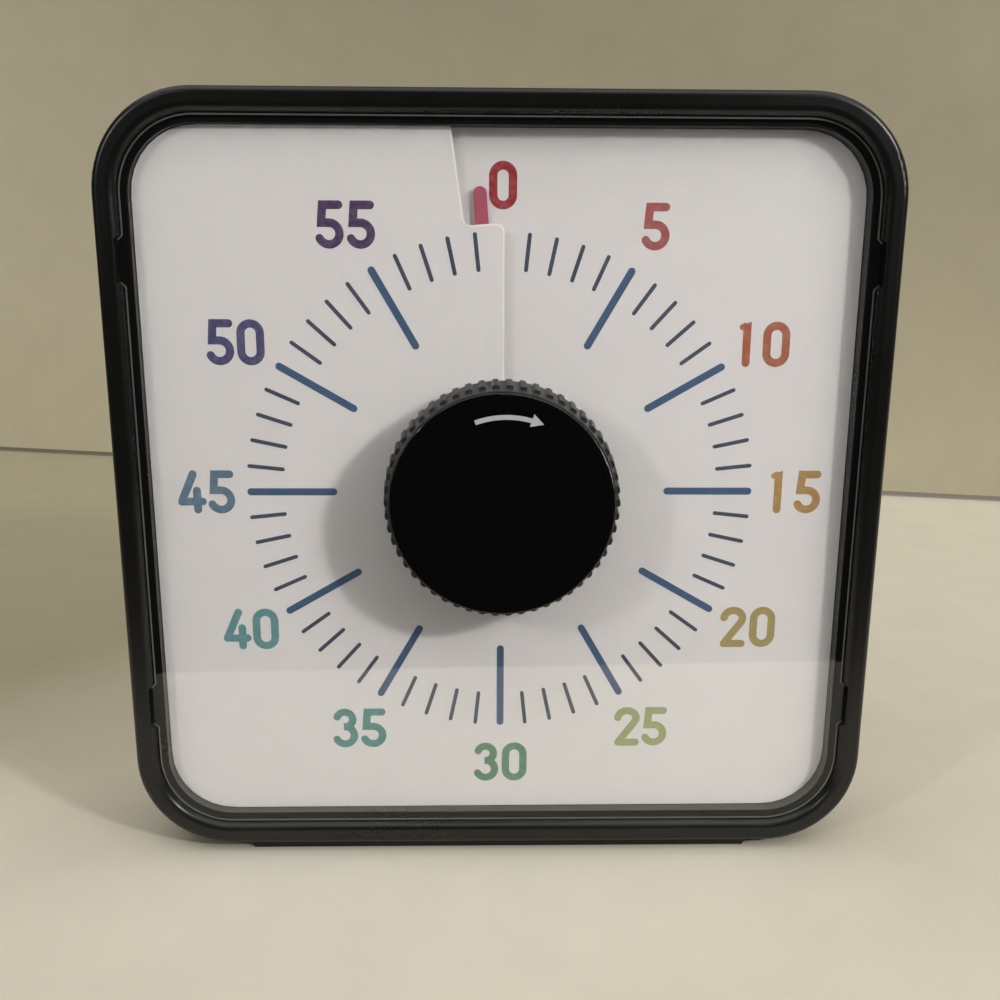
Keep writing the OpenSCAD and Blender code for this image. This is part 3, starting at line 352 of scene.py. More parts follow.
def add_piece(name, bodies, material, rides_on):
    """One object from closed bodies, each a pair of points and faces."""
    starts = np.cumsum([0] + [len(v) for v, _ in bodies[:-1]]).tolist()
    verts = np.concatenate([v for v, _ in bodies])
    faces = [[i + start for i in f] for start, (_, fs) in zip(starts, bodies) for f in fs]
    mesh = bpy.data.meshes.new(name)
    mesh.from_pydata(verts.tolist(), [], faces)
    mesh.materials.append(material)
    obj = new_object(name, mesh)
    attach(obj, rides_on)


# Height on which the digits are drawn, in millimetres
DIGIT_HEIGHT = 10.95


def digit_lines():
    """The width of each digit and its centre lines, which are arcs of ellipses and straight
    runs. Each line has a path and whether its start and its end are round, and None for both
    where it is a closed loop."""
    zero = np.concatenate(
        [ellipse(3.3, 7.65, 2.315, 2.315, 0, 180), ellipse(3.3, 3.3, 2.315, 2.315, 180, 360)]
    )
    two = np.concatenate([ellipse(3.37, 7.9, 2.385, 2.065, 176, -32), [(1.2, 0.985)]])
    three_top = np.concatenate([ellipse(3.1, 7.9, 2.07, 2.065, 160, -90), [(2.8, 5.835)]])
    three_low = np.concatenate([[(2.8, 5.855)], ellipse(3.1, 3.42, 2.4, 2.435, 90, -153)])
    five = np.concatenate(
        [[(5.45, 9.965), (1.7, 9.965), (1.35, 5.92)], ellipse(3.1, 3.455, 2.46, 2.47, 92, -154)]
    )
    return {
        "0": (6.6, [(zero, None, None)]),
        "1": (2.95, [([(1.965, 0.985), (1.965, 9.5)], True, False)]),
        "2": (6.75, [(two, True, True), ([(1.2, 0.985), (5.75, 0.985)], True, True)]),
        "3": (6.5, [(three_top, True, False), (three_low, False, True)]),
        "4": (7.15, [
            ([(4.1, 9.965), (1.05, 3.05)], True, True),
            ([(1.05, 3.05), (6.165, 3.05)], True, True),
            ([(4.9, 5.8), (4.9, 0.985)], True, True),
        ]),
        "5": (6.55, [(five, True, True)]),
    }


# Gap between the two digits of each numeral, and how far the printed numeral's box is moved
# from its place on the circle, to the right and up
NUMERAL_FIT = {
    "0": (0, 0.1, -0.39), "5": (0, -0.39, 0.26), "10": (3.0, 0.06, -0.32),
    "15": (3.3, 0.29, -0.23), "20": (0.95, 0.1, 0.87), "25": (0.7, 0.25, 0.26),
    "30": (0.9, 0.12, 0.26), "35": (0.85, 0.05, 0.29), "40": (0.45, 0, 0.87),
    "45": (0.5, 0.6, -0.06), "50": (0.7, -0.06, -0.16), "55": (0.8, 0, 0.23),
}


# How far a digit's next line lies above the one before it
LAYER_LIFT = 0.004
# The 1's slanted top, and the line of the short flag to its left with its half widths
ONE_TOP = np.array([(0.98, 10.2), (2.95, DIGIT_HEIGHT)])
ONE_FLAG = np.array([(0.78, 9.62), (1.9, 10.02)])
ONE_FLAG_HALF = np.array([0.74, 0.82])


def numeral(text, centre, scale, half, surface, above, below):
    """The bodies of one upright numeral with its box centred on a point: each digit's lines
    follow the one before it by its width and the gap, and the whole is scaled."""
    digits = digit_lines()
    gap, across, up = NUMERAL_FIT[text]
    total = sum(digits[d][0] for d in text) + gap
    corner = centre + scale * (np.array([across, up]) - np.array([total, DIGIT_HEIGHT]) / 2)
    bodies = []
    for d in text:
        for layer, (path, start, end) in enumerate(digits[d][1]):
            path = corner + scale * np.asarray(path)
            loop = start is None
            edges = line_edges(path, half, bool(start), bool(end), loop)
            if d == "1":
                edges = np.concatenate([edges, (corner + scale * ONE_TOP)[None]])
            bodies.append(slab(edges, surface, above + LAYER_LIFT * layer, below, loop))
        if d == "1":
            flag = line_edges(corner + scale * ONE_FLAG, scale * ONE_FLAG_HALF, True, False)
            bodies.append(slab(flag, surface, above + LAYER_LIFT, below))
        corner = corner + [scale * (digits[d][0] + gap), 0]
    return bodies


# The lens's outline in millimetres: the radius of its corners, and how far from the middle
# its tabs are, half their width and how far they stand out
LENS_CORNER = 17.9
TAB_AT = 55.5
TAB_HALF = 4.8
TAB_OUT = 1.1


def lens_runs(inset):
    """The visible stretches of the lens's outline, moved inwards: each ends on the slope of
    a tab. One run is straight, between the tabs of a side, and one passes two corners. The
    other two are the same points turned by half a turn, both signs changed."""
    core = LENS_HALF - TAB_OUT - LENS_CORNER
    edge = LENS_HALF - TAB_OUT - inset
    out = edge + TAB_OUT
    bend = LENS_CORNER - inset
    low, high = TAB_AT - TAB_HALF, TAB_AT + TAB_HALF
    side = np.array([(out, -low), (edge, TAB_OUT - low), (edge, low - TAB_OUT), (out, low)])
    over = np.concatenate(
        [
            [(out, high), (edge, high + TAB_OUT)],
            ellipse(core, core, bend, bend, 0, 90, 24),
            ellipse(-core, core, bend, bend, 90, 180, 24),
            [(-edge, high + TAB_OUT), (-out, high)],
        ]
    )
    return [side, over, -side, -over]


# The dial's slit, in millimetres and degrees: how far beside the axis its inner part runs,
# the radius of its arc and where the arc starts, the angle of its outer part, the radius of
# its two round corners, how far below the first its inner part is straight, and the radii
# at which the line ends
SLIT_SIDE = 0.5
SLIT_STEP = 64.5
SLIT_ARC_START = -2.2
SLIT_BACK = 8.0
SLIT_ROUND = 2.0
SLIT_STRAIGHT = 4
SLIT_ENDS = (26.0, 86.9)


def slit_line(inset):
    """The cut edge of the dial's top layer, moved into the layer: up beside the axis, round
    a corner, along an arc about the axis, round a second corner and out along a radius. The
    second corner's centre lies on the arc's radius plus the rounding, as far from the
    radius line as the rounding."""
    corner = SLIT_SIDE - SLIT_ROUND, SLIT_STEP - SLIT_ROUND
    out = SLIT_STEP + SLIT_ROUND
    turn = math.degrees(math.asin(SLIT_ROUND / out)) - SLIT_BACK
    second = clock(out, turn)
    first = ellipse(*corner, SLIT_ROUND - inset, SLIT_ROUND - inset, 0, 90, 9)
    arc = clock(SLIT_STEP - inset, np.linspace(SLIT_ARC_START, turn, 8)[:-1])
    bend = SLIT_ROUND + inset
    hook = ellipse(*second, bend, bend, 270 - turn, 180 + SLIT_BACK, 9)
    back = math.radians(SLIT_BACK)
    aside = np.array([-math.cos(back), -math.sin(back)])
    tip = clock(SLIT_ENDS[1], -SLIT_BACK) + inset * aside
    side = SLIT_SIDE - inset
    start = [(side, SLIT_ENDS[0]), (side, corner[1] - SLIT_STRAIGHT)]
    return np.concatenate([start, first, arc, hook, [tip]])


def turned(points, degrees):
    """Points turned clockwise about the dial's axis."""
    a = math.radians(degrees)
    return points @ np.array([[math.cos(a), -math.sin(a)], [math.sin(a), math.cos(a)]])


# ---- Finishes ----


def feed(tree, node, inputs):
    """Links a node's input where a socket is given for it, or else sets its own value."""
    for key, value in inputs.items():
        if isinstance(value, NodeSocket):
            tree.links.new(value, node.inputs[key])
        else:
            node.inputs[key].default_value = value


def add_node(tree, kind, inputs=None, **settings):
    """Adds a node, sets its settings and feeds its inputs."""
    made = tree.nodes.new("ShaderNode" + kind)
    for key, value in settings.items():
        setattr(made, key, value)
    feed(tree, made, inputs or {})
    return made


def maths(tree, operation, *values):
    """A Math node's result."""
    return add_node(tree, "Math", dict(enumerate(values)), operation=operation).outputs[0]


def vector_maths(tree, operation, *vectors):
    """The number that a Vector Math node results in."""
    inputs = dict(enumerate(vectors))
    return add_node(tree, "VectorMath", inputs, operation=operation).outputs["Value"]


def spread(tree, value, low, high, to_low=0.0, to_high=1.0):
    """A Map Range node's result, kept inside its range."""
    inputs = {"Value": value, "From Min": low, "From Max": high}
    inputs.update({"To Min": to_low, "To Max": to_high})
    return add_node(tree, "MapRange", inputs).outputs["Result"]


def mixed(tree, factor, first, second):
    """A mix of two colours, which are inputs 6 and 7 of a Mix node."""
    inputs = {0: factor, 6: first, 7: second}
    return add_node(tree, "Mix", inputs, data_type="RGBA").outputs[2]


def noise(tree, vector, scale, detail=2.0, roughness=0.5):
    """A Noise Texture's value."""
    inputs = {"Vector": vector, "Scale": scale, "Detail": detail, "Roughness": roughness}
    return add_node(tree, "TexNoise", inputs).outputs["Fac"]


def shader_group(outputs, **inputs):
    """Makes a function that fills a tree, and returns the sockets for its outputs, into one
    that returns the finished node group, built once and named like it. The inputs are a
    vector and those given here, underscores for spaces: one with four values is a colour."""

    def group_maker(fill):
        name = fill.__name__.replace("_", " ").title()

        def group():
            if name in bpy.data.node_groups:
                return bpy.data.node_groups[name]
            tree = bpy.data.node_groups.new(name, "ShaderNodeTree")
            new_socket = tree.interface.new_socket
            new_socket("Vector", in_out="INPUT", socket_type="NodeSocketVector")
            for label, value in inputs.items():
                kind = "NodeSocketColor" if isinstance(value, tuple) else "NodeSocketFloat"
                label = label.replace("_", " ")
                new_socket(label, in_out="INPUT", socket_type=kind).default_value = value
            for label in outputs:
                kind = "NodeSocketColor" if label == "Colour" else "NodeSocketFloat"
                new_socket(label, in_out="OUTPUT", socket_type=kind)
            entry, leave = tree.nodes.new("NodeGroupInput"), tree.nodes.new("NodeGroupOutput")
            for target, result in zip(leave.inputs, fill(tree, entry.outputs)):
                tree.links.new(result, target)
            return tree

        return group

    return group_maker


@shader_group(
    ("Height", "Roughness", "Colour"), Colour=(0.02, 0.02, 0.02, 1),
    Second_Colour=(0.03, 0.03, 0.03, 1), Grain_Size=0.0004, Roughness=0.4, Gloss_Spread=0.2,
)
def moulded_grain(tree, given):
    """Fine grain of a spark-eroded mould, with slow changes of gloss and tint."""
    scale = maths(tree, "DIVIDE", 1.0, given["Grain Size"])
    fine = noise(tree, given["Vector"], scale, detail=3.0, roughness=0.6)
    slow = noise(tree, given["Vector"], scale=38.0, detail=3.0, roughness=0.55)
    swing = maths(tree, "MULTIPLY", maths(tree, "SUBTRACT", slow, 0.5), given["Gloss Spread"])
    gloss = maths(tree, "ADD", given["Roughness"], swing)
    speck = maths(tree, "MULTIPLY_ADD", maths(tree, "SUBTRACT", fine, 0.5), 0.12, gloss)
    dark = mixed(tree, spread(tree, slow, 0.3, 0.7), given["Colour"], given["Second Colour"])
    return fine, speck, dark


@shader_group(
    ("Colour",), Colour=(0.02, 0.02, 0.02, 1), Worn_Colour=(0.1, 0.1, 0.1, 1),
    Width=0.0004, Amount=0.5,
)
def edge_wear(tree, given):
    """Rubbed edges: where a widened normal leaves the true one, broken up by noise."""
    soft = add_node(tree, "Bevel", {"Radius": given["Width"]}, samples=4).outputs[0]
    sharp = add_node(tree, "NewGeometry").outputs["Normal"]
    edge = spread(tree, vector_maths(tree, "DOT_PRODUCT", soft, sharp), 0.99, 0.85)
    broken = noise(tree, given["Vector"], scale=260.0, detail=4.0, roughness=0.6)
    patch = spread(tree, broken, 0.35, 0.7, to_low=0.25)
    mask = maths(tree, "MULTIPLY", maths(tree, "MULTIPLY", edge, patch), given["Amount"])
    return [mixed(tree, mask, given["Colour"], given["Worn Colour"])]


@shader_group(
    ("Colour",), Colour=(0.02, 0.02, 0.02, 1),
    Dust_Colour=(0.35, 0.33, 0.3, 1), Amount=0.1,
)
def settled_dust(tree, given):
    """Faint dust where a surface faces up."""
    normal = add_node(tree, "NewGeometry").outputs["Normal"]
    up = spread(tree, add_node(tree, "SeparateXYZ", {0: normal}).outputs["Z"], 0.35, 1.0)
    specks = noise(tree, given["Vector"], scale=900.0, detail=5.0, roughness=0.7)
    speck = spread(tree, specks, 0.5, 0.72)
    haze = spread(tree, noise(tree, given["Vector"], scale=60.0), 0.3, 0.8, 0.1, 0.6)
    both = maths(tree, "MAXIMUM", speck, haze)
    mask = maths(tree, "MULTIPLY", maths(tree, "MULTIPLY", up, both), given["Amount"])
    return [mixed(tree, mask, given["Colour"], given["Dust Colour"])]


@shader_group(
    ("Height", "Roughness", "Colour"), Colour=(0.6, 0.6, 0.6, 1),
    Second_Colour=(0.5, 0.5, 0.5, 1), Lines=2500.0, Rings=0.0, Roughness=0.2,
)
def worked_metal(tree, given):
    """Fine lines left by a tool, along a stretched pattern or in rings about its middle."""
    parts = add_node(tree, "SeparateXYZ", {0: given["Vector"]}).outputs
    flat = add_node(tree, "CombineXYZ", {0: parts["X"], 2: parts["Z"]}).outputs[0]
    radius = vector_maths(tree, "LENGTH", flat)
    rings = add_node(tree, "CombineXYZ", {0: radius, 1: parts["Y"]}).outputs[0]
    # a Mix node's inputs 4 and 5 are its two vectors
    inputs = {0: given["Rings"], 4: given["Vector"], 5: rings}
    way = add_node(tree, "Mix", inputs, data_type="VECTOR").outputs[1]
    lines = noise(tree, way, given["Lines"], detail=4.0, roughness=0.65)
    cloud = noise(tree, given["Vector"], scale=70.0)
    gloss = maths(tree, "MULTIPLY_ADD", lines, 0.22, given["Roughness"])
    gloss = maths(tree, "MULTIPLY_ADD", cloud, 0.1, gloss)
    shade = mixed(tree, spread(tree, cloud, 0.3, 0.7), given["Colour"], given["Second Colour"])
    return lines, gloss, shade


@shader_group(
    ("Colour", "Roughness"), Colour=(0.1, 0.2, 0.5, 1),
    Ground=(0.7, 0.7, 0.7, 1), Thin_Coat=0.12,
)
def printed_ink(tree, given):
    """Screen-printed ink: a little lighter where the coat is thin, and slightly uneven."""
    coat = noise(tree, given["Vector"], scale=700.0, detail=4.0, roughness=0.6)
    shade = maths(tree, "MULTIPLY", spread(tree, coat, 0.42, 0.7), given["Thin Coat"])
    uneven = noise(tree, given["Vector"], scale=300.0, detail=3.0)
    gloss = spread(tree, uneven, 0.2, 0.8, 0.38, 0.6)
    return mixed(tree, shade, given["Colour"], given["Ground"]), gloss


@shader_group(
    ("Colour", "Height"), Colour=(0.7, 0.7, 0.7, 1),
    Second_Colour=(0.68, 0.68, 0.68, 1), Core_Colour=(0.8, 0.78, 0.7, 1),
)
def cut_sheet(tree, given):
    """A printed sheet whose cut edges show its core, with a faint mottle on its face."""
    normal = add_node(tree, "NewGeometry").outputs["Normal"]
    facing = maths(tree, "ABSOLUTE", add_node(tree, "SeparateXYZ", {0: normal}).outputs["Y"])
    cut = spread(tree, facing, 0.85, 0.45)
    mottle = noise(tree, given["Vector"], scale=150.0, detail=4.0, roughness=0.6)
    shade = spread(tree, mottle, 0.3, 0.7)
    face = mixed(tree, shade, given["Colour"], given["Second Colour"])
    fine = noise(tree, given["Vector"], scale=3200.0)
    return mixed(tree, cut, face, given["Core Colour"]), fine


def rgba(values, factor=1.0):
    """A colour property as a node input, made lighter or darker by a factor."""
    return (*[min(1.0, v * factor) for v in values], 1.0)


def new_material(name):
    """An empty material: its tree, its Principled BSDF and its Object coordinates."""
    made = bpy.data.materials.new(name)
    made.use_nodes = True
    tree = made.node_tree
    tree.nodes.clear()
    shader = add_node(tree, "BsdfPrincipled")
    out = add_node(tree, "OutputMaterial", {"Surface": shader.outputs[0]})
    out.is_active_output = True
    return made, tree, shader, add_node(tree, "TexCoord").outputs["Object"]


def use_group(tree, group, at, **inputs):
    """Places a group in a material. Input names have underscores for their spaces."""
    made = add_node(tree, "Group", node_tree=group)
    named = {key.replace("_", " "): value for key, value in inputs.items()}
    feed(tree, made, {"Vector": at, **named})
    return made.outputs


def paint(tree, shader, shade, gloss):
    """Feeds a colour and a roughness to the shader."""
    feed(tree, shader, {"Base Color": shade, "Roughness": gloss})


def bump(tree, shader, height, strength, distance):
    """Feeds a height to the shader's normal."""
    inputs = {"Height": height, "Strength": strength, "Distance": distance}
    feed(tree, shader, {"Normal": add_node(tree, "Bump", inputs).outputs[0]})


# How much lighter or darker a finish is in its second colour
PLASTIC_SECOND, SHEET_SECOND = 1.18, 0.975
# Width of the rubbed strip along a moulded edge, in metres
WEAR_WIDTH = 0.0005


def plastic(name, tint, roughness, grain=0.0004, depth=0.00002, spread_by=0.16, wear=0.35,
            worn=(0.08, 0.08, 0.075), dust=0.0):
    """Moulded plastic with grain, rubbed edges and, where asked, dust. The size and the depth
    of the grain are in metres."""
    made, tree, shader, at = new_material(name)
    grained = use_group(
        tree, moulded_grain(), at, Colour=rgba(tint), Second_Colour=rgba(tint, PLASTIC_SECOND),
        Grain_Size=grain, Roughness=roughness, Gloss_Spread=spread_by,
    )
    rubbed = use_group(
        tree, edge_wear(), at, Colour=grained["Colour"], Worn_Colour=rgba(worn),
        Width=WEAR_WIDTH, Amount=wear,
    )
    shade = rubbed["Colour"]
    if dust:
        shade = use_group(tree, settled_dust(), at, Colour=shade, Amount=dust)["Colour"]
    paint(tree, shader, shade, grained["Roughness"])
    bump(tree, shader, grained["Height"], strength=0.35, distance=depth)
    return made


def metal(name, tint, roughness, lines=2500.0, rings=0.0, centre=(0, 0, 0),
          stretch=(1, 1, 14), dark=0.82):
    """Worked metal, in lines or in rings. A Mapping node puts the middle of the rings in its
    place, and another stretches the lines."""
    made, tree, shader, at = new_material(name)
    inputs = {"Vector": at, "Location": [-c for c in centre]}
    moved = add_node(tree, "Mapping", inputs).outputs[0]
    if not rings:
        inputs = {"Vector": moved, "Scale": [1 / s for s in stretch]}
        moved = add_node(tree, "Mapping", inputs).outputs[0]
    worked = use_group(
        tree, worked_metal(), moved, Colour=rgba(tint), Second_Colour=rgba(tint, dark),
        Lines=lines, Rings=rings, Roughness=roughness,
    )
    paint(tree, shader, worked["Colour"], worked["Roughness"])
    feed(tree, shader, {"Metallic": 1.0})
    bump(tree, shader, worked["Height"], strength=0.3, distance=0.000004)
    return made


def ink_material(name, tint, ground, thin=0.1):
    """Print on the dial or on the knob's cap."""
    made, tree, shader, at = new_material(name)
    ink = use_group(
        tree, printed_ink(), at, Colour=rgba(tint), Ground=rgba(ground), Thin_Coat=thin
    )
    paint(tree, shader, ink["Colour"], ink["Roughness"])
    return made


def sheet_material(name, tint, core, roughness):
    """A thin printed sheet with a cut edge."""
    made, tree, shader, at = new_material(name)
    sheet = use_group(
        tree, cut_sheet(), at, Colour=rgba(tint), Second_Colour=rgba(tint, SHEET_SECOND),
        Core_Colour=rgba(core),
    )
    grained = use_group(
        tree, moulded_grain(), at, Grain_Size=0.0006, Roughness=roughness, Gloss_Spread=0.1
    )
    paint(tree, shader, sheet["Colour"], grained["Roughness"])
    bump(tree, shader, sheet["Height"], strength=0.15, distance=0.000006)
    return made


# The lens plastic's index of refraction
LENS_IOR = 1.55


def lens_material(tint):
    """Clear plastic that lets lamps through, with faint smears in its gloss."""
    made, tree, shader, at = new_material("lens_clear")
    smear = noise(tree, at, scale=45.0, detail=5.0, roughness=0.6)
    paint(tree, shader, rgba(tint), spread(tree, smear, 0.45, 0.75, 0.0, 0.035))
    feed(tree, shader, {"Transmission Weight": 1.0, "IOR": LENS_IOR})
    clear = add_node(tree, "BsdfTransparent", {"Color": rgba(tint)})
    shadow = add_node(tree, "LightPath").outputs["Is Shadow Ray"]
    both = add_node(tree, "MixShader", {0: shadow, 1: shader.outputs[0], 2: clear.outputs[0]})
    feed(tree, tree.nodes["Material Output"], {"Surface": both.outputs[0]})
    return made


def finish(material, *nodes):
    """Gives CAD nodes a material."""
    for name in nodes:
        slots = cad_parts[name].data.materials
        slots.clear()
        slots.append(material)


# ---- Operators ----

# How far each thin line is raised above what it lies on and sunk into it, in millimetres
LENS_EDGE_HIGHLIGHT_LINE = (0.02, 0.1)
SLIT_EDGE_HIGHLIGHT_LINE = (0.025, 0.05)
ARROW_LINE = (0.012, 0.03)
ARROW_HEAD = (0.014, 0.03)
PRINT_SUNK = 0.02


class TIMER_OT_case(Operator):
    """Gives the frame, the rear cover and the stand their moulded black plastic"""

    bl_idname = "timer.case"
    bl_label = "Case"

    def execute(self, context):
        case = context.scene.timer_case
        black = plastic(
            "case_black", case.plastic, case.gloss, case.grain, wear=0.3, worn=case.worn, dust=0.1
        )
        finish(black, "front_bezel", "rear_cover")
        rougher = case.gloss + 0.08
        finish(plastic("stand_black", case.plastic, rougher, case.grain, worn=case.worn),
            "stand_foot")
        return {"FINISHED"}


class TIMER_OT_lens(Operator):
    """Makes the lens clear and adds a pale line along its cut edge, a painted highlight of the edge
    catching the light
    """

    bl_idname = "timer.lens"
    bl_label = "Lens"

    def execute(self, context):
        case = context.scene.timer_case
        finish(lens_material(case.lens_tint), "lens")
        # A painted highlight: a pale strip that noise breaks up into painted glints
        made, tree, shader, at = new_material("lens_edge")
        glint_noise = noise(tree, at, scale=120.0, detail=4.0, roughness=0.7)
        glint = spread(tree, glint_noise, 0.3, 0.75)
        shade = mixed(tree, glint, rgba(case.edge_colour), rgba(case.edge_colour, 0.55))
        paint(tree, shader, shade, spread(tree, glint, 0.0, 1.0, 0.25, 0.5))
        half = case.edge_width / MM / 2
        front = flat_surface(LENS_FRONT)
        bodies = [
            slab(line_edges(run, half, False, False), front, *LENS_EDGE_HIGHLIGHT_LINE)
            for run in lens_runs(half)
        ]
        add_piece("lens_edge", bodies, made, "case")
        return {"FINISHED"}


# How much lighter the time disc is where it is cut
DISC_CORE = 1.25


class TIMER_OT_dial(Operator):
    """Gives the dial its white sheet and the time disc its red one, and lays a pale strip along the
    slit as a painted highlight of its cut edge
    """

    bl_idname = "timer.dial"
    bl_label = "Dial and disc"

    def execute(self, context):
        dial = context.scene.timer_dial
        finish(sheet_material("dial_white", dial.sheet, dial.core, 0.5), "dial_plate")
        core = [DISC_CORE * value for value in dial.disc]
        finish(sheet_material("disc_red", dial.disc, core, 0.42), "time_disc")
        # A pale strip in the core colour along the slit's cut edge: a painted highlight
        half = dial.cut_width / MM / 2
        edges = line_edges(slit_line(half), half, False, False)
        bodies = [slab(edges, dial_surface(dial, 90.0), *SLIT_EDGE_HIGHLIGHT_LINE)]
        cut = sheet_material("dial_cut", dial.core, dial.core, 0.4)
        add_piece("slit_edge", bodies, cut, "case")
        return {"FINISHED"}


# Points along a tick, and how much of the dial's sheet shows through its ink
TICK_POINTS = 5
TICK_THIN = 0.02


class TIMER_OT_ticks(Operator):
    """Prints the minute ticks, every fifth one longer"""

    bl_idname = "timer.ticks"
    bl_label = "Minute ticks"

    def execute(self, context):
        dial = context.scene.timer_dial
        surface = dial_surface(dial)
        reach = dial.tick_reach / MM
        fives = [m for m in range(1, MINUTES) if m % MINUTES_PER_NUMERAL == 0]
        others = [m for m in range(1, MINUTES) if m % MINUTES_PER_NUMERAL]
        kinds = (
            ("ticks_five", fives, dial.long_root, dial.long_width, dial.long_ink),
            ("ticks_minute", others, dial.short_root, dial.short_width, dial.short_ink),
        )
        for name, at, root, width, tint in kinds:
            half = width / MM / 2
            run = np.linspace(root / MM + half, reach - half, TICK_POINTS)
            tick = line_edges(np.stack([np.zeros(TICK_POINTS), run], -1), half)
            bodies = [
                slab(turned(tick, DEGREES_PER_MINUTE * m), surface, dial.ink / MM, PRINT_SUNK)
                for m in at
            ]
            ink = ink_material(name + "_ink", tint, dial.sheet, TICK_THIN)
            add_piece(name, bodies, ink, "case")
        return {"FINISHED"}


class TIMER_OT_numerals(Operator):
    """Prints the twelve numerals, each in its own ink"""

    bl_idname = "timer.numerals"
    bl_label = "Numerals"

    def execute(self, context):
        dial, inks = context.scene.timer_dial, context.scene.timer_numerals
        scale = dial.numeral_height / MM / DIGIT_HEIGHT
        half = dial.numeral_stroke / MM / 2
        for minute in INKS:
            surface = dial_surface(dial, 0.0 if minute else -90.0)
            centre = clock(dial.numeral_at / MM, DEGREES_PER_MINUTE * minute)
            bodies = numeral(str(minute), centre, scale, half, surface, dial.ink / MM, PRINT_SUNK)
            name = f"numeral_{minute:02d}"
            ink = ink_material(name + "_ink", getattr(inks, name), dial.sheet)
            add_piece(name, bodies, ink, "case")
        return {"FINISHED"}


# Millimetres by which the arrow's line and its head leave their circle, per degree, and half
# the width of the arrow's tip
ARROW_DRIFT = 0.0147
HEAD_DRIFT = 1.3 * ARROW_DRIFT
ARROW_TIP_HALF = 0.05


class TIMER_OT_knob(Operator):
    """Finishes the grip and the glossy cap and prints the arrow on the cap"""

    bl_idname = "timer.knob"
    bl_label = "Knob"

    def execute(self, context):
        knob = context.scene.timer_knob
        finish(plastic("grip_grey", knob.grip, 0.5, 0.0003, wear=0.4, worn=(0.14, 0.14, 0.135)),
               "knob_body")
        finish(plastic("cap_black", knob.cap, 0.07, 0.003, depth=0.0000008, spread_by=0.04,
                       wear=0.05, dust=0.02), "knob_cap")
        radius, half = knob.arrow_at / MM, knob.arrow_width / MM / 2
        start, neck, tip = np.degrees([knob.arrow_from, knob.arrow_neck, knob.arrow_tip])
        along = np.linspace(start, neck, 20)
        line = line_edges(clock(radius + ARROW_DRIFT * along, along), half, False, False)
        ends = np.array([neck, tip])
        widths = [knob.arrow_head / MM / 2, ARROW_TIP_HALF]
        head = line_edges(clock(radius + HEAD_DRIFT * ends, ends), widths, False, False)
        front = flat_surface(CAP_FRONT)
        bodies = [slab(line, front, *ARROW_LINE), slab(head, front, *ARROW_HEAD)]
        add_piece("cap_arrow", bodies, ink_material("arrow_print", knob.arrow, knob.cap), "knob")
        return {"FINISHED"}


class TIMER_OT_hardware(Operator):
    """Finishes the screws, the magnets and the hinge pin on the back"""

    bl_idname = "timer.hardware"
    bl_label = "Rear hardware"

    def execute(self, context):
        case, works = context.scene.timer_case, context.scene.timer_movement
        finish(metal("screw_steel", works.steel, 0.26, stretch=(6, 1, 1)), "case_screws")
        finish(metal("pin_steel", works.steel, 0.16, stretch=(12, 1, 1)), "stand_pin")
        finish(metal("magnet_nickel", case.magnet, 0.14, 900.0, dark=0.9), "magnets")
        return {"FINISHED"}


class TIMER_OT_movement(Operator):
    """Finishes the chassis, the clockwork, the hammer and the bell"""

    bl_idname = "timer.movement"
    bl_label = "Clockwork"

    def execute(self, context):
        works = context.scene.timer_movement
        axis = (0, 0, AXIS_HEIGHT * MM)
        finish(plastic("chassis_grey", works.chassis, 0.5, 0.0005, wear=0.1, worn=works.acetal),
            "chassis_plate")
        finish(plastic("gear_white", works.acetal, 0.38, 0.0004, wear=0.1, worn=works.acetal),
            "second_wheel", "third_wheel", "escape_wheel", "disc_hub")
        finish(metal("brass_turned", works.brass, 0.2, 2200.0, 1.0, axis),
            "main_wheel", "strike_cam")
        finish(metal("brass_drawn", works.brass, 0.24, 1800.0),
            "front_movement_plate", "rear_movement_plate", "pillars", "bell_post",
            "hammer_head")
        finish(metal("arbor_steel", works.steel, 0.12, 2600.0, stretch=(1, 10, 1)),
            "main_arbor", "second_arbor", "third_arbor", "escape_arbor", "pallet_arbor",
            "hammer_pin", "spring_post")
        finish(metal("sheet_steel", works.steel, 0.26, 1500.0, stretch=(1, 1, 10)),
            "arbor_clip", "clutch_spring", "pallet_lever", "hammer_lever", "pillar_nuts",
            "chassis_screws", "knob_screw", "bell_screw")
        finish(metal("spring_blue", works.spring, 0.18, 2400.0, 1.0, axis, dark=0.6), "mainspring")
        low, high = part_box("bell")
        middle = ((low.x + high.x) / 2, 0, (low.z + high.z) / 2)
        finish(metal("bell_nickel", works.bell, 0.1, 1600.0, 1.0, middle, dark=0.9), "bell")
        return {"FINISHED"}


# Half the width of the floor and the backdrop, and the backdrop's foot and top, in metres
FLOOR_HALF = 3
WALL_FOOT, WALL_TOP = 0.004, 2.5
# The way in which a colour goes over to a second one, and the values between which it does:
# on the floor a painted shadow behind the timer on the left, on the backdrop painted shade
# higher up and on the right
FLOOR_SHADOW_FADE = (-1, 1, 0), (0.15, 0.3)
WALL_SHADE_FADE = (0.96, 0, 2.63), (0, 0.85)
ROOM_COLOUR = (1.0, 0.98, 0.95, 1)
SENSOR_WIDTH = 36
CAMERA_CLIP = 0.01, 20
TIMER_MIDDLE = (0, 0, AXIS_HEIGHT * MM)
# Each lamp's name, its place, its width and height, and what it faces, in metres
LAMPS = (
    ("lamp_left", (-0.765, -0.8, 0.56), (0.05, 0.05), TIMER_MIDDLE),
    ("lamp_right", (0.824, -0.772, 0.613), (0.09, 0.06), TIMER_MIDDLE),
    ("lamp_high", (0.878, -0.65, 0.836), (0.22, 0.22), TIMER_MIDDLE),
    ("lamp_ceiling", (0, -0.2, 2.4), (4, 4), (0, -0.2, 0)),
    ("lamp_top", (0.4, -0.5, 1.3), (1.2, 1.2), TIMER_MIDDLE),
    ("lamp_back_left", (-0.7, 0.06, 0.8), (0.5, 0.5), (-0.7, 2.0, 0.8)),
    ("lamp_back_right", (0.7, 0.06, 0.8), (0.5, 0.5), (0.7, 2.0, 0.8)),
)


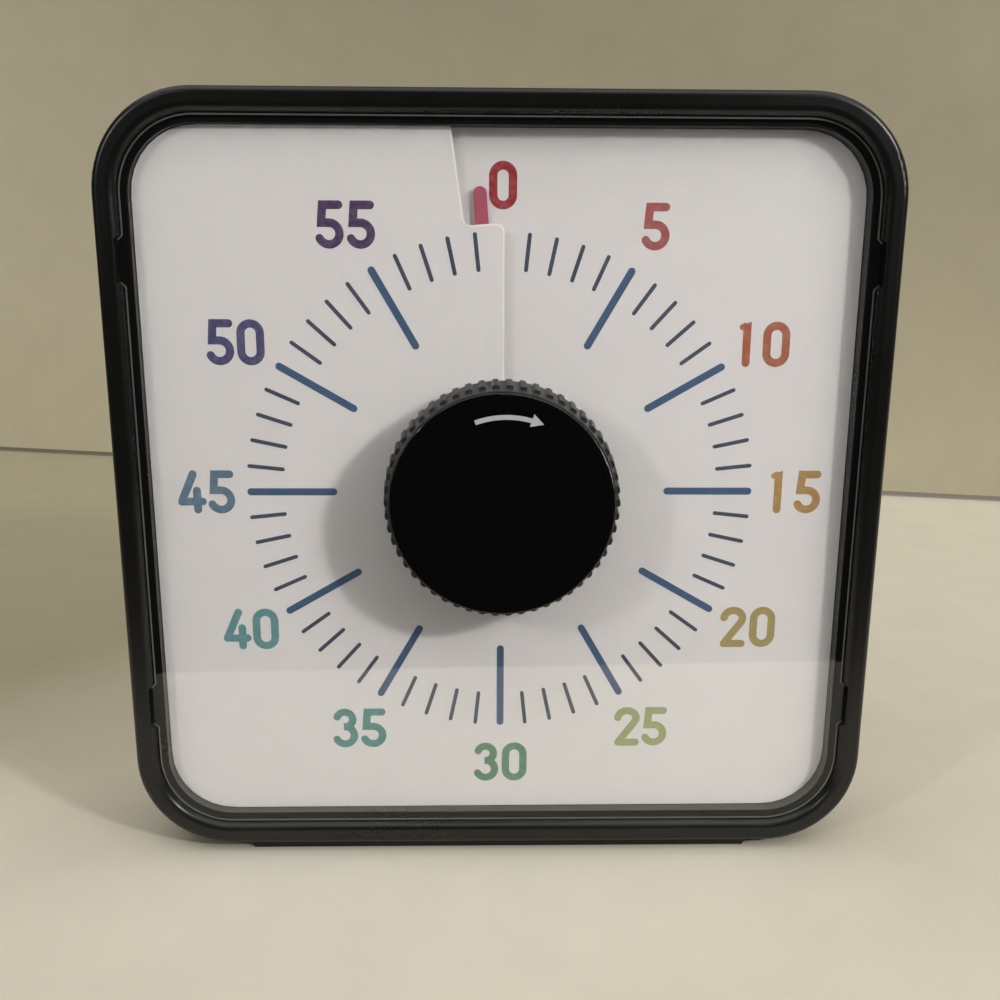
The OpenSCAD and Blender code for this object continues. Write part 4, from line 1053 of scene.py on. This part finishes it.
def board(name, corners, tint, painted_shade_tint, way, reach):
    """A plain painted board with a faint mottle. Its colour goes over to a second one, which is
    painted shade, as the dot product of a point with a way passes the two values of the reach."""
    made, tree, shader, at = new_material(name)
    along = spread(tree, vector_maths(tree, "DOT_PRODUCT", at, way), *reach)
    shade = mixed(tree, along, rgba(tint), rgba(painted_shade_tint))
    grained = use_group(
        tree, moulded_grain(), at, Colour=shade,
        Second_Colour=mixed(tree, 0.05, shade, (0, 0, 0, 1)),
        Grain_Size=0.003, Roughness=0.75, Gloss_Spread=0.1,
    )
    paint(tree, shader, grained["Colour"], grained["Roughness"])
    feed(tree, shader, {"Specular IOR Level": 0.2})
    mesh = bpy.data.meshes.new(name)
    mesh.from_pydata([(x, y, 0) for x, y in corners], [], [(0, 1, 2, 3)])
    mesh.materials.append(made)
    return new_object(name, mesh)


def lamp(name, watts, place, size, aim):
    """A flat lamp that faces a point."""
    light = bpy.data.lights.new(name, "AREA")
    light.shape = "RECTANGLE"
    light.size, light.size_y = size
    light.energy = watts
    made = new_object(name, light)
    made.location = place
    made.rotation_euler = (Vector(aim) - made.location).to_track_quat("-Z", "Y").to_euler()


class TIMER_OT_studio(Operator):
    """Adds the floor, the backdrop, the lamps, the room's light and the camera"""

    bl_idname = "timer.studio"
    bl_label = "Studio"

    def execute(self, context):
        studio, scene = context.scene.timer_studio, context.scene
        self.add_boards(studio)
        for name, *placed in LAMPS:
            lamp(name, getattr(studio, name), *placed)
        scene.world = self.new_world(studio)
        scene.camera = self.new_camera(studio)
        scene.view_settings.view_transform = "Standard"
        return {"FINISHED"}

    def add_boards(self, studio):
        """The floor, in a front and a rear part, and the turned backdrop. The front part is
        kept out of reflections, so its rear edge ends what the lens mirrors."""
        half = FLOOR_HALF
        rim, aside = -studio.table_rim, half * math.tan(studio.rim_turn)
        left, right = (-half, rim - aside), (half, rim + aside)
        # The floor turns to a painted shadow behind the timer, on the left
        tints = studio.floor, studio.floor_far, *FLOOR_SHADOW_FADE
        floor = board("studio_floor", [left, right, (half, half), (-half, half)], *tints)
        front = board("studio_front", [(-half, -half), (half, -half), right, left], *tints)
        front.visible_glossy = front.visible_diffuse = front.visible_transmission = False
        back = Matrix.Translation((0, studio.wall_at, 0))
        turn = Matrix.Rotation(studio.wall_turn, 4, "Z")
        corners = [(-half, WALL_FOOT), (half, WALL_FOOT), (half, WALL_TOP), (-half, WALL_TOP)]
        # The backdrop turns to painted shade higher up and on the right
        wall = board("studio_backdrop", corners, studio.wall, studio.wall_far, *WALL_SHADE_FADE)
        wall.data.transform(back @ turn @ Matrix.Rotation(math.pi / 2, 4, "X"))

    def new_world(self, studio):
        """The room's weak light, and the backdrop's colour where the camera sees past it."""
        world = bpy.data.worlds.new("studio_world")
        world.use_nodes = True
        tree = world.node_tree
        fill = tree.nodes["Background"]
        feed(tree, fill, {"Color": ROOM_COLOUR, "Strength": studio.room})
        seen = add_node(tree, "Background", {"Color": rgba(studio.wall)})
        camera_ray = add_node(tree, "LightPath").outputs["Is Camera Ray"]
        both = {0: camera_ray, 1: fill.outputs[0], 2: seen.outputs[0]}
        sky = add_node(tree, "MixShader", both).outputs[0]
        feed(tree, tree.nodes["World Output"], {"Surface": sky})
        return world

    def new_camera(self, studio):
        """The camera, turned about the vertical, then tilted, then rolled."""
        camera = new_object("camera", bpy.data.cameras.new("camera"))
        camera.data.lens = studio.camera_lens
        camera.data.sensor_width = SENSOR_WIDTH
        camera.data.clip_start, camera.data.clip_end = CAMERA_CLIP
        camera.matrix_world = (
            Matrix.Translation(studio.camera_at)
            @ Matrix.Rotation(-studio.camera_yaw, 4, "Z")
            @ Matrix.Rotation(math.pi / 2 + studio.camera_pitch, 4, "X")
            @ Matrix.Rotation(studio.camera_roll, 4, "Z")
        )
        return camera


class TIMER_PT_panel(Panel):
    """Lists the steps that dress the timer"""

    bl_idname = "TIMER_PT_panel"
    bl_label = "Visual Countdown Timer"
    bl_space_type = "VIEW_3D"
    bl_region_type = "UI"
    bl_category = "Timer"

    def draw(self, context):
        for cls in OPERATORS:
            self.layout.operator(cls.bl_idname)


OPERATORS = (
    TIMER_OT_studio, TIMER_OT_case, TIMER_OT_lens, TIMER_OT_dial, TIMER_OT_ticks,
    TIMER_OT_numerals, TIMER_OT_knob, TIMER_OT_hardware, TIMER_OT_movement,
)
SETTINGS = {
    "timer_case": TimerCase,
    "timer_dial": TimerDial,
    "timer_numerals": TimerNumerals,
    "timer_knob": TimerKnob,
    "timer_movement": TimerMovement,
    "timer_studio": TimerStudio,
}


def register():
    """Registers the classes and hangs the settings on the scene."""
    for cls in (*SETTINGS.values(), *OPERATORS, TIMER_PT_panel):
        bpy.utils.register_class(cls)
    for name, cls in SETTINGS.items():
        setattr(bpy.types.Scene, name, PointerProperty(type=cls))


def unregister():
    """Takes the settings and the classes out again."""
    for name in SETTINGS:
        delattr(bpy.types.Scene, name)
    for cls in (TIMER_PT_panel, *reversed(OPERATORS), *reversed(SETTINGS.values())):
        bpy.utils.unregister_class(cls)


def main():
    """Registers the add-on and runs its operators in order."""
    register()
    bpy.ops.timer.studio()
    bpy.ops.timer.case()
    bpy.ops.timer.lens()
    bpy.ops.timer.dial()
    bpy.ops.timer.ticks()
    bpy.ops.timer.numerals()
    bpy.ops.timer.knob()
    bpy.ops.timer.hardware()
    bpy.ops.timer.movement()


if __name__ == "__main__":
    main()
